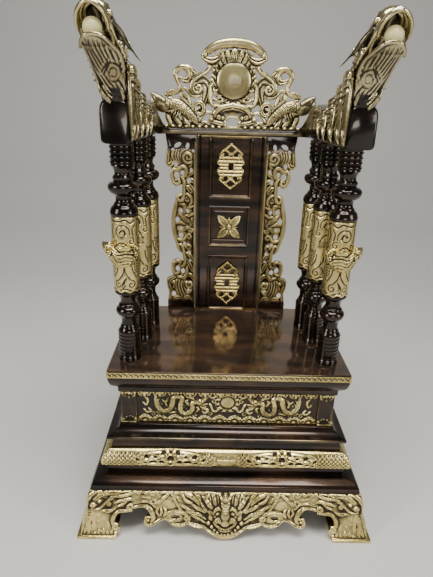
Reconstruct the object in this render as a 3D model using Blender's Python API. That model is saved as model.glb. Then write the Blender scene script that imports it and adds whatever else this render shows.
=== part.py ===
"""Altar throne: a cast brass throne on a moulded pedestal, with a horseshoe rail and dragon arms.

The origin is on the floor at the middle of the footprint. +X is the throne's left-hand side as
seen from the front, +Y is its back and +Z is up. Lengths are in metres.
"""
import bpy
import bmesh
from math import cos, sin, pi, radians
from mathutils import Vector

MM = 0.001
FIT = 0.0003                # clearance kept between pieces that touch

# Plan of the seat, which every tier below follows with its own overhang
SEAT_WIDTH = 0.400
SEAT_DEPTH = 0.2744

# Heights of the stacked tiers, from the floor up
FOOT_HEIGHT = 0.0860
LOWER_MOULDING_HEIGHT = 0.0364
FRET_HEIGHT = 0.0280
UPPER_MOULDING_HEIGHT = 0.0377
PEDESTAL_HEIGHT = 0.0627
SEAT_THICKNESS = 0.0477

# Foot frame
FOOT_WALL = 0.009
APRON_OVERHANG = 0.0415     # of the apron's face at half its height
PAD_THICKNESS = 0.005
PAD_WIDTH = 0.0675
PAD_OVERHANG = 0.0545
MASK_DEPTH = 0.0155
MASK_HALF_WIDTH = 0.046
MASK_HALF_HEIGHT = 0.0415
MASK_CENTRE = 0.047         # above the floor

# Pedestal and its panels
PEDESTAL_OVERHANG = -0.018
POST_WIDTH = 0.027
PANEL_DEPTH = 0.005
RELIEF_HEIGHT = 0.0035
LACE_PITCH = 0.0310
LACE_HEIGHT = 0.013
SUN_RADIUS = 0.0115

# Columns: radius over the ribs, height, and the places of the three pairs
COLUMN_RADIUS = 0.018
COLUMN_HEIGHT = 0.3514
COLUMN_SIDES = 8
FRONT_COLUMN = (SEAT_WIDTH * 0.41875, SEAT_DEPTH * -0.314140)
MIDDLE_COLUMN = (SEAT_WIDTH * 0.39250, SEAT_DEPTH * -0.037172)
BACK_COLUMN = (SEAT_WIDTH * 0.37750, SEAT_DEPTH * 0.192420)

# Back board, its panels and its wings
BOARD_HALF_WIDTH = 0.066
BOARD_THICKNESS = 0.0110
BOARD_SETBACK = 0.0014      # from the seat's back edge to the back of the board
PANEL_HALF_WIDTH = 0.0365
PANEL_RECESS = 0.004
MOUNT_THICKNESS = 0.006
MOUNT_RIM = 0.0055
MOUNT_BAR = 0.0028          # half width of the level bars of a medallion
WING_THICKNESS = 0.006
WING_HALF_SPAN = 0.124

# Horseshoe rail
RAIL_BACK_WIDTH = 0.020
RAIL_BACK_HEIGHT = 0.0100
ARM_HEIGHT = 0.058
BLOCK_HALF_WIDTH = 0.0220
BLOCK_REACH = 0.0390        # from the front column's axis to the front of the block over it
BLOCK_FRONT = FRONT_COLUMN[1] - BLOCK_REACH

# Dragons
DRAGON_HEIGHT = 0.1180      # from the top of the arm to the top of the hood
PEARL_RADIUS = 0.0122
MANE_THICKNESS = 0.007
MANE_CREST = 0.030          # height of the mane above the arm at its front end

# Crest
CREST_HEIGHT = 0.1524
CREST_THICKNESS = 0.012
DISC_RADIUS = 0.031
DISC_HEIGHT = 0.078         # centre of the disc above the rail's top

FOOT_TOP = FOOT_HEIGHT
LOWER_MOULDING_BASE = FOOT_TOP + FIT
FRET_BASE = LOWER_MOULDING_BASE + LOWER_MOULDING_HEIGHT + FIT
UPPER_MOULDING_BASE = FRET_BASE + FRET_HEIGHT + FIT
PEDESTAL_BASE = UPPER_MOULDING_BASE + UPPER_MOULDING_HEIGHT + FIT
SEAT_BASE = PEDESTAL_BASE + PEDESTAL_HEIGHT + FIT
SEAT_TOP = SEAT_BASE + SEAT_THICKNESS
COLUMN_BASE = SEAT_TOP + FIT
RAIL_BASE = COLUMN_BASE + COLUMN_HEIGHT + FIT
RAIL_TOP = RAIL_BASE + RAIL_BACK_HEIGHT
ARM_TOP = RAIL_BASE + ARM_HEIGHT
BOARD_BACK = SEAT_DEPTH / 2 - BOARD_SETBACK
BOARD_FRONT = BOARD_BACK - BOARD_THICKNESS
RAIL_BACK_Y = (BOARD_BACK + BOARD_FRONT) / 2
CREST_BASE = RAIL_TOP + FIT


def clear_scene():
    for thing in list(bpy.data.objects):
        bpy.data.objects.remove(thing, do_unlink=True)


def metal(name, colour, roughness, metallic=1.0):
    finish = bpy.data.materials.new(name)
    finish.use_nodes = True
    shader = finish.node_tree.nodes["Principled BSDF"]
    shader.inputs["Base Color"].default_value = (*colour, 1.0)
    shader.inputs["Roughness"].default_value = roughness
    shader.inputs["Metallic"].default_value = metallic
    return finish


def add_object(name, shape, finish=None):
    """Turns a bmesh into an object, with its faces turned outwards."""
    bmesh.ops.recalc_face_normals(shape, faces=shape.faces)
    mesh = bpy.data.meshes.new(name)
    shape.to_mesh(mesh)
    shape.free()
    if finish:
        mesh.materials.append(finish)
    thing = bpy.data.objects.new(name, mesh)
    bpy.context.scene.collection.objects.link(thing)
    return thing


def loft(rings, closed=False):
    """Skins rings of equally many points. A closed loft joins its last ring to its first."""
    shape = bmesh.new()
    rows = [[shape.verts.new(point) for point in ring] for ring in rings]
    pairs = list(zip(rows, rows[1:] + rows[:1])) if closed else list(zip(rows, rows[1:]))
    for low, high in pairs:
        for i in range(len(low)):
            j = (i + 1) % len(low)
            shape.faces.new((low[i], low[j], high[j], high[i]))
    if not closed:
        shape.faces.new(rows[0][::-1])
        shape.faces.new(rows[-1])
    return shape


def prism(outline, low, high, axis="Y"):
    """An outline of (across, up) pairs, extruded along Y or X between two values."""
    def place(across, up, depth):
        return (across, depth, up) if axis == "Y" else (depth, across, up)
    return loft([[place(a, z, low) for a, z in outline], [place(a, z, high) for a, z in outline]])


def box(low, high):
    return prism([(low[0], low[2]), (high[0], low[2]), (high[0], high[2]), (low[0], high[2])],
                 low[1], high[1])


def ball(centre, radii, around=8, up=5):
    """A faceted ellipsoid."""
    shape = bmesh.new()
    bmesh.ops.create_uvsphere(shape, u_segments=around, v_segments=up, radius=1.0)
    for vert in shape.verts:
        vert.co = Vector(centre) + Vector([c * r for c, r in zip(vert.co, radii)])
    return shape


def curl(centre, radius, inner, start, sweep, thick, steps=7):
    """A volute: (x, z, half width) along a spiral from its outer end to its eye, in millimetres."""
    path = []
    for k in range(steps + 1):
        t = k / steps
        reach = radius + (inner - radius) * t
        angle = radians(start + sweep * t)
        path.append((centre[0] + reach * cos(angle), centre[1] + reach * sin(angle),
                     thick * (1 - 0.35 * t)))
    return path


def strand(path, front, back):
    """A ridged stem of scrollwork: (x, z, half width) in millimetres, swept between two depths."""
    rings = []
    for k, (x, z, half) in enumerate(path):
        before, after = path[max(k - 1, 0)], path[min(k + 1, len(path) - 1)]
        along = Vector((after[0] - before[0], after[1] - before[1])).normalized()
        side = Vector((-along.y, along.x)) * half * MM
        x, z = x * MM, z * MM
        rings.append([(x - side.x, back, z - side.y), (x, front, z), (x + side.x, back, z + side.y)])
    return loft(rings)


def mirrored(shape):
    twin = shape.copy()
    for vert in twin.verts:
        vert.co.x = -vert.co.x
    bmesh.ops.reverse_faces(twin, faces=twin.faces)
    return twin


def operands(name, shapes):
    """Puts helper solids into a collection of their own, out of the finished throne."""
    group = bpy.data.collections.new(name)
    bpy.context.scene.collection.children.link(group)
    for k, shape in enumerate(shapes):
        helper = add_object(f"{name}_{k:02d}", shape)
        bpy.context.scene.collection.objects.unlink(helper)
        group.objects.link(helper)
        helper.hide_render = True
        helper.display_type = "WIRE"
    return group


def combine(target, operation, name, shapes):
    """Unites the target with, or cuts it by, a group of helper solids."""
    modifier = target.modifiers.new(name, "BOOLEAN")
    modifier.operation = operation
    modifier.solver = "EXACT"
    modifier.use_self = True
    modifier.operand_type = "COLLECTION"
    modifier.collection = operands(name, shapes)


def tier_ring(overhang, z, bead=0.0, beads=0):
    """One level of a tier: the seat's rectangle grown by an overhang, perhaps beaded."""
    half_x, half_y = SEAT_WIDTH / 2 + overhang, SEAT_DEPTH / 2 + overhang
    corners = [(-half_x, -half_y), (half_x, -half_y), (half_x, half_y), (-half_x, half_y)]
    outward = [(0, -1), (1, 0), (0, 1), (-1, 0)]
    ring = []
    for (x0, y0), (x1, y1), (nx, ny) in zip(corners, corners[1:] + corners[:1], outward):
        side_length = SEAT_WIDTH if ny else SEAT_DEPTH
        count = max(1, round(beads * side_length / SEAT_WIDTH))
        for k in range(count):
            t = k / count
            swell = bead * (k % 2)
            ring.append((x0 + (x1 - x0) * t + nx * swell, y0 + (y1 - y0) * t + ny * swell, z))
    return ring


def tier(name, base, height, profile, finish):
    """A stacked tier from its profile of (overhang, share of height) pairs, bottom to top."""
    return add_object(name, loft([tier_ring(o, base + height * share) for o, share in profile]),
                      finish)


def half_to_whole(points):
    """Mirrors an outline that runs from x = 0 outwards, and joins both halves."""
    return [(-x, z) for x, z in reversed(points) if x > 0] + list(points)


def turned(profile, place, base, finish, name):
    """A turned piece from (radius, height) pairs, standing at a place on the plan."""
    x, y = place
    turn = 2 * pi / COLUMN_SIDES
    rings = [[(x + r * cos(turn * k), y + r * sin(turn * k), base + z) for k in range(COLUMN_SIDES)]
             for r, z in profile]
    return add_object(name, loft(rings), finish)


# Foot frame: a hollow skirt on four padded feet, its lower edge scalloped

def apron_edge(half_width, foot_half):
    """Half of the apron's lower edge, (across, up) from the middle to the foot's inner side."""
    step = half_width / 254.5
    scallop = [(0, 5), (16, 6), (46, 16.5), (88, 20.5), (106, 28), (119, 20), (131, 14.5)]
    arch = [(142, 26), (134, 46), (146, 60), (162, 60), (178, 44), (190, 14)]
    edge = [(x * step, z * MM) for x, z in scallop]
    edge += [(foot_half - (187 - x) * step, z * MM) for x, z in arch]
    return edge + [(foot_half, PAD_THICKNESS), (foot_half, -FOOT_WALL)]


def foot_frame(brass):
    levels = [(0.0335, FOOT_TOP), (0.0375, 0.070), (0.0425, 0.045), (0.0465, 0.022),
              (0.0520, PAD_THICKNESS)]
    rings = [tier_ring(o, z) for o, z in levels]
    rings += [tier_ring(o - FOOT_WALL, z) for o, z in reversed(levels)]
    frame = add_object("foot_frame", loft(rings, closed=True), brass)

    half_x, half_y = SEAT_WIDTH / 2 + PAD_OVERHANG, SEAT_DEPTH / 2 + PAD_OVERHANG
    front_gap = prism(half_to_whole(apron_edge(half_x, half_x - PAD_WIDTH)), -2 * half_y, 2 * half_y)
    side_gap = prism(half_to_whole(apron_edge(half_y, half_y - PAD_WIDTH)), -2 * half_x, 2 * half_x,
                     axis="X")
    combine(frame, "DIFFERENCE", "apron_gaps", [front_gap, side_gap])

    added = []
    for sx in (-1, 1):
        for sy in (-1, 1):
            across = sorted((sx * half_x, sx * (half_x - PAD_WIDTH)))
            along = sorted((sy * half_y, sy * (half_y - PAD_WIDTH)))
            added.append(box((across[0], along[0], 0), (across[1], along[1], PAD_THICKNESS + FIT)))
    # Volutes on the feet and at the hooks of the apron, and the masks on the two long sides
    wall_y = SEAT_DEPTH / 2 + APRON_OVERHANG
    for sx in (-1, 1):
        for x, z, r in ((half_x - 0.064, 0.024, 0.0085), (half_x - 0.118, 0.027, 0.0080)):
            added.append(ball((sx * x, -wall_y, z), (r, 0.0095, r), 6, 4))
    added.append(ball((0, wall_y, MASK_CENTRE),
                      (MASK_HALF_WIDTH - 0.002, MASK_DEPTH * 0.75, MASK_HALF_HEIGHT - 0.0035), 6, 4))
    added.append(ball((0, -wall_y, MASK_CENTRE),
                      (MASK_HALF_WIDTH, MASK_DEPTH * 0.8, MASK_HALF_HEIGHT), 8, 5))
    added.append(ball((0, -wall_y - MASK_DEPTH * 0.58, 0.029), (0.013, 0.0045, 0.010), 6, 4))
    for sx in (-1, 1):
        for x, z, rx, rz in ((0.017, 0.049, 0.010, 0.008), (0.032, 0.026, 0.012, 0.009),
                             (0.027, 0.068, 0.017, 0.007)):
            added.append(ball((sx * x, -wall_y - MASK_DEPTH * 0.40, z), (rx, 0.0065, rz), 5, 4))
    combine(frame, "UNION", "foot_carving", added)


# Pedestal box with recessed panels, lace borders, and two dragons about the sun

def scalloped_strip(half_width, base, height, front, back):
    """A border whose upper edge, or lower one for a negative height, runs in scallops."""
    count = max(2, round(2 * half_width / LACE_PITCH))
    pitch = 2 * half_width / count
    edge = []
    for k in range(count):
        left = -half_width + k * pitch
        edge += [(left, base + height * 0.45), (left + pitch * 0.3, base + height),
                 (left + pitch * 0.7, base + height)]
    return prism([(half_width, base), (-half_width, base)] + edge
                 + [(half_width, base + height * 0.45)], front, back)


def pedestal(brass):
    half_x, half_y = SEAT_WIDTH / 2 + PEDESTAL_OVERHANG, SEAT_DEPTH / 2 + PEDESTAL_OVERHANG
    base, top = PEDESTAL_BASE, PEDESTAL_BASE + PEDESTAL_HEIGHT
    block = tier("pedestal_box", base, PEDESTAL_HEIGHT,
                 [(PEDESTAL_OVERHANG, 0.0), (PEDESTAL_OVERHANG, 1.0)], brass)
    low, high = base + 0.0035, top - 0.0015
    recess_x, recess_y = half_x - POST_WIDTH, half_y - POST_WIDTH
    cuts = []
    for s in (-1, 1):
        near, far = sorted((s * (half_y - PANEL_DEPTH), s * (half_y + PANEL_DEPTH)))
        cuts.append(box((-recess_x, near, low), (recess_x, far, high)))
        near, far = sorted((s * (half_x - PANEL_DEPTH), s * (half_x + PANEL_DEPTH)))
        cuts.append(box((near, -recess_y, low), (far, recess_y, high)))
    combine(block, "DIFFERENCE", "panel_recesses", cuts)

    floor_y = -(half_y - PANEL_DEPTH)
    front, back = floor_y - RELIEF_HEIGHT, floor_y + 0.001
    added = [scalloped_strip(recess_x + 0.002, low - 0.001, LACE_HEIGHT, front, back),
             scalloped_strip(recess_x + 0.002, high + 0.001, 0.002 - LACE_HEIGHT, front, back)]
    middle = (low + high) / 2 / MM
    share = (high - low) / 0.0577
    added.append(ball((0, floor_y, (middle + 4) * MM), (SUN_RADIUS, PANEL_DEPTH * 1.1, SUN_RADIUS), 8, 5))
    coils = [(-126, 16, 2), (-118, 8, 3), (-108, -6, 4), (-97, 4, 4.5), (-88, 16, 4.5), (-79, 4, 4.5),
             (-70, -8, 4.5), (-60, -2, 4.5), (-52, 6, 5.5), (-44, 7, 7), (-33, 10, 4)]
    body = [(x * half_x / 0.182, middle + z * share, r) for x, z, r in coils]
    dragon = strand(body, front - 0.001, back)
    added += [dragon, mirrored(dragon)]
    for x, z in ((-140, 6), (-103, 14), (-22, -10)):
        cloud = ball((x * MM * half_x / 0.182, floor_y, (middle + z * share) * MM),
                     (0.008, 0.004, 0.005), 6, 4)
        added += [cloud, mirrored(cloud)]
    combine(block, "UNION", "pedestal_carving", added)


# Columns: ribbed barrels at both ends, bulbs and rings, and an engraved sleeve between

def column_profile():
    """(radius, height) pairs from the foot up, for a column 352 mm tall and 18 mm in radius."""
    profile = [(18.6, 0)]
    for k in range(4):
        rise = 10 + k * 11.5
        profile += [(16.0, rise), (18.8, rise + 5.5)]
    profile += [(13, 66), (20.5, 86), (14, 100), (21, 122), (21, 247), (13, 266), (23, 288),
                (13, 301), (18.6, 322), (16.2, 331), (18.8, 340), (17.0, 352)]
    girth, length = COLUMN_RADIUS / 18, COLUMN_HEIGHT / 352
    return [(r * girth, z * length) for r, z in profile]


def column(name, place, side, brass, embossed):
    x, y = side * place[0], place[1]
    post = turned(column_profile(), (x, y), COLUMN_BASE, brass, name)
    if not embossed:
        return
    girth, level = COLUMN_RADIUS / 18, COLUMN_BASE + COLUMN_HEIGHT * 184 / 352
    added = [ball((x + side * 0.005, y - 0.016 * girth, level), (0.019, 0.011, 0.016), 7, 4)]
    for dx in (-1, 1):
        added.append(ball((x + dx * 0.022 * girth, y - 0.006, level + 0.008),
                          (0.008, 0.008, 0.006), 5, 3))
    combine(post, "UNION", name + "_mount", added)


# Back board with stiles, three recessed panels and their mounts

def panel_levels():
    """Lowest and highest level of the three panels, from the bottom one up."""
    share = COLUMN_HEIGHT / 352
    return [(COLUMN_BASE + low * share, COLUMN_BASE + high * share)
            for low, high in ((4, 114), (141, 214), (238, 346))]


def back_board(dark):
    low, high = COLUMN_BASE, COLUMN_BASE + COLUMN_HEIGHT
    board = add_object("back_board", box((-BOARD_HALF_WIDTH, BOARD_FRONT, low),
                                         (BOARD_HALF_WIDTH, BOARD_BACK, high)), dark)
    cuts = [box((-PANEL_HALF_WIDTH, BOARD_FRONT - PANEL_RECESS, z0),
                (PANEL_HALF_WIDTH, BOARD_FRONT + PANEL_RECESS, z1)) for z0, z1 in panel_levels()]
    groove = BOARD_HALF_WIDTH - 0.008
    for side in (-1, 1):
        near, far = sorted((side * groove, side * (groove + 0.0015)))
        cuts.append(box((near, BOARD_FRONT - 0.002, low - FIT),
                        (far, BOARD_FRONT + 0.0015, high + FIT)))
    combine(board, "DIFFERENCE", "board_panels", cuts)


def medallion(name, middle, half_width, half_height, brass):
    """A pierced oval mount: a pointed rim about a spine crossed by level bars."""
    back = BOARD_FRONT + PANEL_RECESS - FIT
    front = back - MOUNT_THICKNESS
    rim_points = [(half_width * x, half_height * z) for x, z in
                  ((0, 1), (0.75, 0.68), (1, 0.40), (0.8, 0), (1, -0.40), (0.75, -0.68), (0, -1))]
    rim_points += [(-x, z) for x, z in reversed(rim_points[1:-1])]
    narrower, lower = 1 - MOUNT_RIM / half_width, 1 - MOUNT_RIM / half_height
    outer = [(x, middle + z) for x, z in rim_points]
    inner = [(x * narrower, middle + z * lower) for x, z in rim_points]
    rings = [[(x, y, z) for x, z in loop] for loop, y in
             ((outer, front), (outer, back), (inner, back), (inner, front))]
    mount = add_object(name, loft(rings, closed=True), brass)
    bars = [box((-MOUNT_BAR, front, middle - half_height * 0.95),
                (MOUNT_BAR, back, middle + half_height * 0.95))]
    for share in (-0.42, 0, 0.42):
        z = middle + share * half_height
        reach = half_width * (0.9 if share else 0.72)
        bars.append(box((-reach, front + 0.0005, z - MOUNT_BAR), (reach, back - 0.0005, z + MOUNT_BAR)))
    combine(mount, "UNION", name + "_bars", bars)


def flower_plaque(middle, brass):
    """Four petals set crosswise about a boss."""
    back = BOARD_FRONT + PANEL_RECESS - FIT
    front = back - MOUNT_THICKNESS
    unit = PANEL_HALF_WIDTH / 36.5
    boss = 7 * unit
    disc = [(boss * cos(k * pi / 4), middle + boss * sin(k * pi / 4)) for k in range(8)]
    flower = add_object("flower_plaque", prism(disc, front - 0.001, back), brass)
    petals = []
    for k in range(4):
        angle = radians(46 + 90 * k)
        along = Vector((cos(angle), sin(angle)))
        across = Vector((-along.y, along.x))
        outline = [(along * r + across * w) * unit for r, w in
                   ((3, -3), (18, -7.5), (28, -5), (31, 0), (28, 5), (18, 7.5), (3, 3))]
        petals.append(prism([(p.x, middle + p.y) for p in outline], front + 0.0005, back - 0.0002))
    combine(flower, "UNION", "petals", petals)


# Wings: pierced scrollwork plates beside the board

WING_OUTLINE = [(68, 648), (123, 651), (123, 637), (118, 621), (124, 602), (118, 592), (112, 586),
                (113, 570), (104, 555), (91, 559), (89, 541), (104, 536), (110, 510), (112, 490),
                (108, 458), (103, 428), (90, 420), (89, 402), (103, 403), (112, 388), (108, 370),
                (122, 358), (116, 340), (120, 302), (68, 302)]
WING_HOLES = [(103, 577, 5), (91, 580, 5), (95, 510, 5), (102, 489, 5), (97, 466, 6),
              (96, 385, 7), (109, 332, 4), (101, 633, 6), (83, 632, 4)]


def wing(name, side, brass):
    """The outline and holes are given for the real board, from 302 to 651 mm above the floor."""
    low, high = COLUMN_BASE, COLUMN_BASE + COLUMN_HEIGHT
    inner = BOARD_HALF_WIDTH + FIT
    def place(x, z):
        across = inner + (x - 68) * (WING_HALF_SPAN - inner) / 56
        return side * across, low + (z - 302) * (high - low) / 349
    back = BOARD_BACK - 0.0025
    outline = [place(x, min(z, 651)) for x, z in WING_OUTLINE]
    outline[0] = (outline[0][0], high)
    plate = add_object(name, prism(outline, back - WING_THICKNESS, back), brass)
    holes = []
    for x, z, r in WING_HOLES:
        cx, cz = place(x, z)
        ring = [(cx + r * MM * cos(k * pi * 0.4), cz + 1.4 * r * MM * sin(k * pi * 0.4))
                for k in range(5)]
        holes.append(prism(ring, back - 2 * WING_THICKNESS, back + WING_THICKNESS))
    combine(plate, "DIFFERENCE", name + "_piercing", holes)


# Horseshoe rail: thin across the back, deep along the arms, ending in rounded blocks

def arm_stations():
    """(x, y, half width, top) along the right half of the rail, from the back to the front."""
    bx, by = BACK_COLUMN
    mx, my = MIDDLE_COLUMN
    fx, fy = FRONT_COLUMN
    thin, deep = RAIL_TOP, ARM_TOP
    half = RAIL_BACK_WIDTH / 2
    return [(0.0, RAIL_BACK_Y, half, thin), (bx * 0.7152, RAIL_BACK_Y, half, thin),
            (bx * 0.8477, RAIL_BACK_Y - half * 0.4, half * 1.1, thin),
            (bx * 0.9338, RAIL_BACK_Y - half * 1.7, half * 1.2, thin + 0.4 * (deep - thin)),
            (bx * 0.9801, by + half * 3.4, half * 1.35, thin + 0.82 * (deep - thin)),
            (bx, by + half * 1.2, half * 1.6, deep), (mx, my, half * 1.8, deep),
            (fx - half * 0.4, fy + half * 2.4, half * 1.95, deep),
            (fx, fy + half * 0.6, BLOCK_HALF_WIDTH, deep),
            (fx + 0.0005, BLOCK_FRONT + 0.010, BLOCK_HALF_WIDTH, deep),
            (fx + 0.0005, BLOCK_FRONT, BLOCK_HALF_WIDTH * 0.86, deep - 0.003)]


def rail_frames():
    """The stations with the plan direction that points across the rail, towards its middle."""
    stations = arm_stations()
    frames = []
    for k, (x, y, half, top) in enumerate(stations):
        x0, y0 = (-stations[1][0], stations[1][1]) if k == 0 else stations[k - 1][:2]
        x1, y1 = stations[min(k + 1, len(stations) - 1)][:2]
        along = Vector((x1 - x0, y1 - y0)).normalized()
        frames.append((Vector((x, y)), Vector((along.y, -along.x)), half, top))
    return frames


def arm_rail(dark):
    right = []
    frames = rail_frames()
    for k, (centre, inward, half, top) in enumerate(frames):
        low = RAIL_BASE + (0.008 if k == len(frames) - 1 else 0.0)
        bevel = min(0.006, (top - low) * 0.3)
        section = [(-half + bevel, low), (half - bevel, low), (half, low + bevel), (half, top - bevel),
                   (half - bevel, top), (-half + bevel, top), (-half, top - bevel),
                   (-half, low + bevel)]
        right.append([(*(centre + inward * a), z) for a, z in section])
    left = [[(-x, y, z) for x, y, z in ring] for ring in reversed(right[1:])]
    add_object("arm_rail", loft(left + right), dark)


# Dragons rearing from the ends of the arms, a pearl in each mouth

def dragon(side, brass, cream):
    suffix = "left" if side < 0 else "right"
    fx = FRONT_COLUMN[0]
    base = ARM_TOP + FIT
    unit = DRAGON_HEIGHT / 118
    origin = Vector((fx, BLOCK_FRONT, base))

    def oval(x, y, z, half_width, half_depth, lean, count=10):
        """A leaning section about a point that counts from the middle of the block's front."""
        ring = []
        x, y, z = origin + Vector((x, y, z)) * unit
        half_width, half_depth = half_width * unit, half_depth * unit
        for k in range(count):
            a = 2 * pi * (k + 0.5) / count
            across, along = half_width * cos(a), half_depth * sin(a)
            ring.append((side * (x + across), y + along * cos(lean), z + along * sin(lean)))
        return ring

    # Neck and skull lean outwards and forwards, ending in the hood over the mouth
    skull = loft([oval(0, 28, 0, 20.5, 27.0, 0.0), oval(2, 25, 20, 21.5, 26.5, 0.25),
                  oval(7, 18, 46, 22.0, 25.0, 0.50), oval(13, 7, 72, 22.5, 23.5, 0.70),
                  oval(18, -5, 94, 21.5, 20.0, 0.90), oval(21, -19, 107, 16.0, 12.0, 1.10)])
    head = add_object("dragon_" + suffix, skull, brass)
    pearl = origin + Vector((16.5, -30, 80)) * unit
    pearl.x *= side
    mouth = ball(pearl + Vector((0, -1, 3)) * unit, (16.5 * unit, 21 * unit, 25.5 * unit), 8, 6)
    combine(head, "DIFFERENCE", "mouth_" + suffix, [mouth])

    # Lower jaw and beard, in front of the neck
    jaw = loft([oval(1, 4.5, 0.5, 10, 3.5, 0.3, 8), oval(3, 0, 22, 17, 6.5, 0.4, 8),
                oval(7, -13, 46, 20.5, 7.5, 0.5, 8), oval(13.5, -31, 66, 19, 7, 0.5, 8),
                oval(16.5, -43, 74.5, 14, 4.5, 0.5, 8)])
    # Mane along the inner face and the top of the arm, its crest rising in flames
    frames = [f for f in rail_frames() if f[0].y < BACK_COLUMN[1] + 0.02][:-1]
    plan = []
    for (c0, i0, h0, _), (c1, i1, h1, _) in zip(frames, frames[1:]):
        for t in (0.0, 1 / 3, 2 / 3):
            plan.append((c0.lerp(c1, t), i0.lerp(i1, t), h0 + (h1 - h0) * t))
    plan.append(frames[-1][:3])
    rings = []
    for k, (centre, inward, half) in enumerate(plan):
        t = 1 - k / (len(plan) - 1)
        top = ARM_TOP + MANE_CREST * (1 - 0.6 * t) + 0.010 * (k % 2) * (1 - 0.4 * t)
        if k in (0, len(plan) - 1):
            top = ARM_TOP + MANE_CREST * 0.47
        low = RAIL_BASE + 0.003
        face = half + FIT
        section = [(face + MANE_THICKNESS, low), (face + MANE_THICKNESS, top - 0.008), (face, top),
                   (face - 0.014, top - 0.010), (face - 0.016, base + FIT), (face, base + FIT),
                   (face, low)]
        spots = [(centre + inward * a, z) for a, z in section]
        rings.append([(side * spot.x, spot.y, z) for spot, z in spots])
    mane = loft(rings)
    whisker_rings = []
    for x, y, z, w in ((3, 8, 84, 3.0), (-12, 30, 80, 2.4), (-22, 58, 70, 1.8), (-26, 84, 58, 1.0)):
        spots = [origin + Vector((x + a, y, z + b)) * unit
                 for a, b in ((-w, 0), (0, -2 * w), (w, 0), (0, 2 * w))]
        whisker_rings.append([(side * spot.x, spot.y, spot.z) for spot in spots])
    whisker = loft(whisker_rings)
    ear_spot = origin + Vector((-10, 24, 60)) * unit
    ear = ball((side * ear_spot.x, ear_spot.y, ear_spot.z), (9 * unit, 12 * unit, 10 * unit), 7, 4)
    combine(head, "UNION", "dragon_carving_" + suffix, [jaw, mane, whisker, ear])
    seat = ball(pearl, (PEARL_RADIUS + FIT,) * 3, 10, 6)
    combine(head, "DIFFERENCE", "pearl_seat_" + suffix, [seat])
    add_object("pearl_" + suffix, ball(pearl, (PEARL_RADIUS - FIT,) * 3, 10, 6), cream)


# Crest: pierced scrolls about a domed disc, standing on the back of the rail

def crest(brass):
    """Stems are (x, z, half width) in millimetres, x outwards and z from the crest's foot."""
    front = RAIL_BACK_Y - CREST_THICKNESS / 2
    back = RAIL_BACK_Y + CREST_THICKNESS / 2
    spread, rise = BACK_COLUMN[0] / 151, CREST_HEIGHT / 152.4
    half_stems = [
        # the arch over the disc
        [(0, 145.5, 6.9), (15, 144.5, 6.7), (29, 141, 6.2), (41, 134, 5.5), (50, 124, 5.0),
         (53, 116, 3.6)],
        # the leaf under the arch's end and the crown about the disc
        [(0, 132, 5.5), (12, 128, 4.5), (24, 123, 3.2), (33, 116, 4.6), (42, 115, 5.2), (50, 118, 3.5)],
        # the stem from the arch down to the great volute
        [(52, 118, 2.8), (44, 108, 3.0), (47, 98, 3.0), (58, 91, 3.4), (69, 84, 3.5), (74, 74, 3.5)],
        # the open hook on the outside, and its tail down to the dragon's brow
        [(90, 84, 2.5), (80, 87, 4.8), (82, 100, 4.6), (97, 103, 4.0), (106, 90, 3.6),
         (100, 66, 3.2), (111, 59, 3.6), (122, 48, 5.0)],
        # the great volute and the leaves that spring from it
        [(72, 80, 3.5), (59, 87, 4.2), (43, 79, 3.0)],
        curl((64, 69), 13, 4, 200, 360, 4.2, 6),
        [(51, 77, 3.4), (46, 66, 3.2), (52, 42, 3.0)],
        [(102, 67, 3.0), (76, 60, 3.2)],
        # the stem beside the disc
        [(38, 79, 3.0), (42, 68, 3.2), (41, 50, 3.2), (33, 39, 3.4), (20, 39, 3.4)],
        # the small volute above the dragon, and its leaf
        curl((61, 34), 11, 4, 150, -330, 3.2, 5),
        [(99, 68, 3.2), (91, 49, 4.0), (78, 30, 4.4)],
        # the dragon's scaly body and the leaf behind its head
        [(146, 56, 4.5), (140, 47, 9.0), (128, 40, 10.5), (98, 37, 8.4), (84, 28, 7.5), (66, 11, 5.0)],
        # feet and curls that reach the rail
        [(119, 34, 4.8), (116, 20, 4.2), (117, 6, 5.0)],
        [(102, 30, 4.8), (97, 6, 4.6)],
        [(60, 9, 3.2), (53, 24, 3.2), (43, 25, 3.6), (34, 11, 5.0)],
        # the arch of clouds under the disc
        [(0, 37, 5.4), (13, 36, 5.4), (25, 30, 5.4), (33, 20, 5.0), (34, 8, 4.0)],
    ]
    reach = 118 * spread
    strip = box((-reach, front, CREST_BASE), (reach, back, CREST_BASE + 9 * rise))
    piece = add_object("crest", strip, brass)
    added = []
    for number, stem in enumerate(half_stems):
        path = [(x * spread / MM, (CREST_BASE + z * rise) / MM, w * rise / MM) for x, z, w in stem]
        inset = 0.0002 * (number + 1)
        if path[0][0] == 0:
            added.append(strand([(-x, z, w) for x, z, w in path[:0:-1]] + path, front + inset,
                                back - inset))
            continue
        solid = strand(path, front + inset, back - inset)
        added += [solid, mirrored(solid)]
    centre = CREST_BASE + DISC_HEIGHT
    flames = []
    for k in range(20):
        reach = DISC_RADIUS * (1.339 if k % 2 else 1.194)
        flames.append((reach * cos(k * pi / 10), centre + reach * sin(k * pi / 10)))
    eye = ball((48.5 * spread, RAIL_BACK_Y, CREST_BASE + 122.5 * rise), (0.0068, 0.0070, 0.0068), 6, 4)
    added += [eye, mirrored(eye)]
    added.append(prism(flames, front + 0.0043, back - 0.0037))
    added.append(ball((0, front + 0.0025, centre), (DISC_RADIUS, 0.0090, DISC_RADIUS), 12, 5))
    combine(piece, "UNION", "crest_carving", added)


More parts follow.
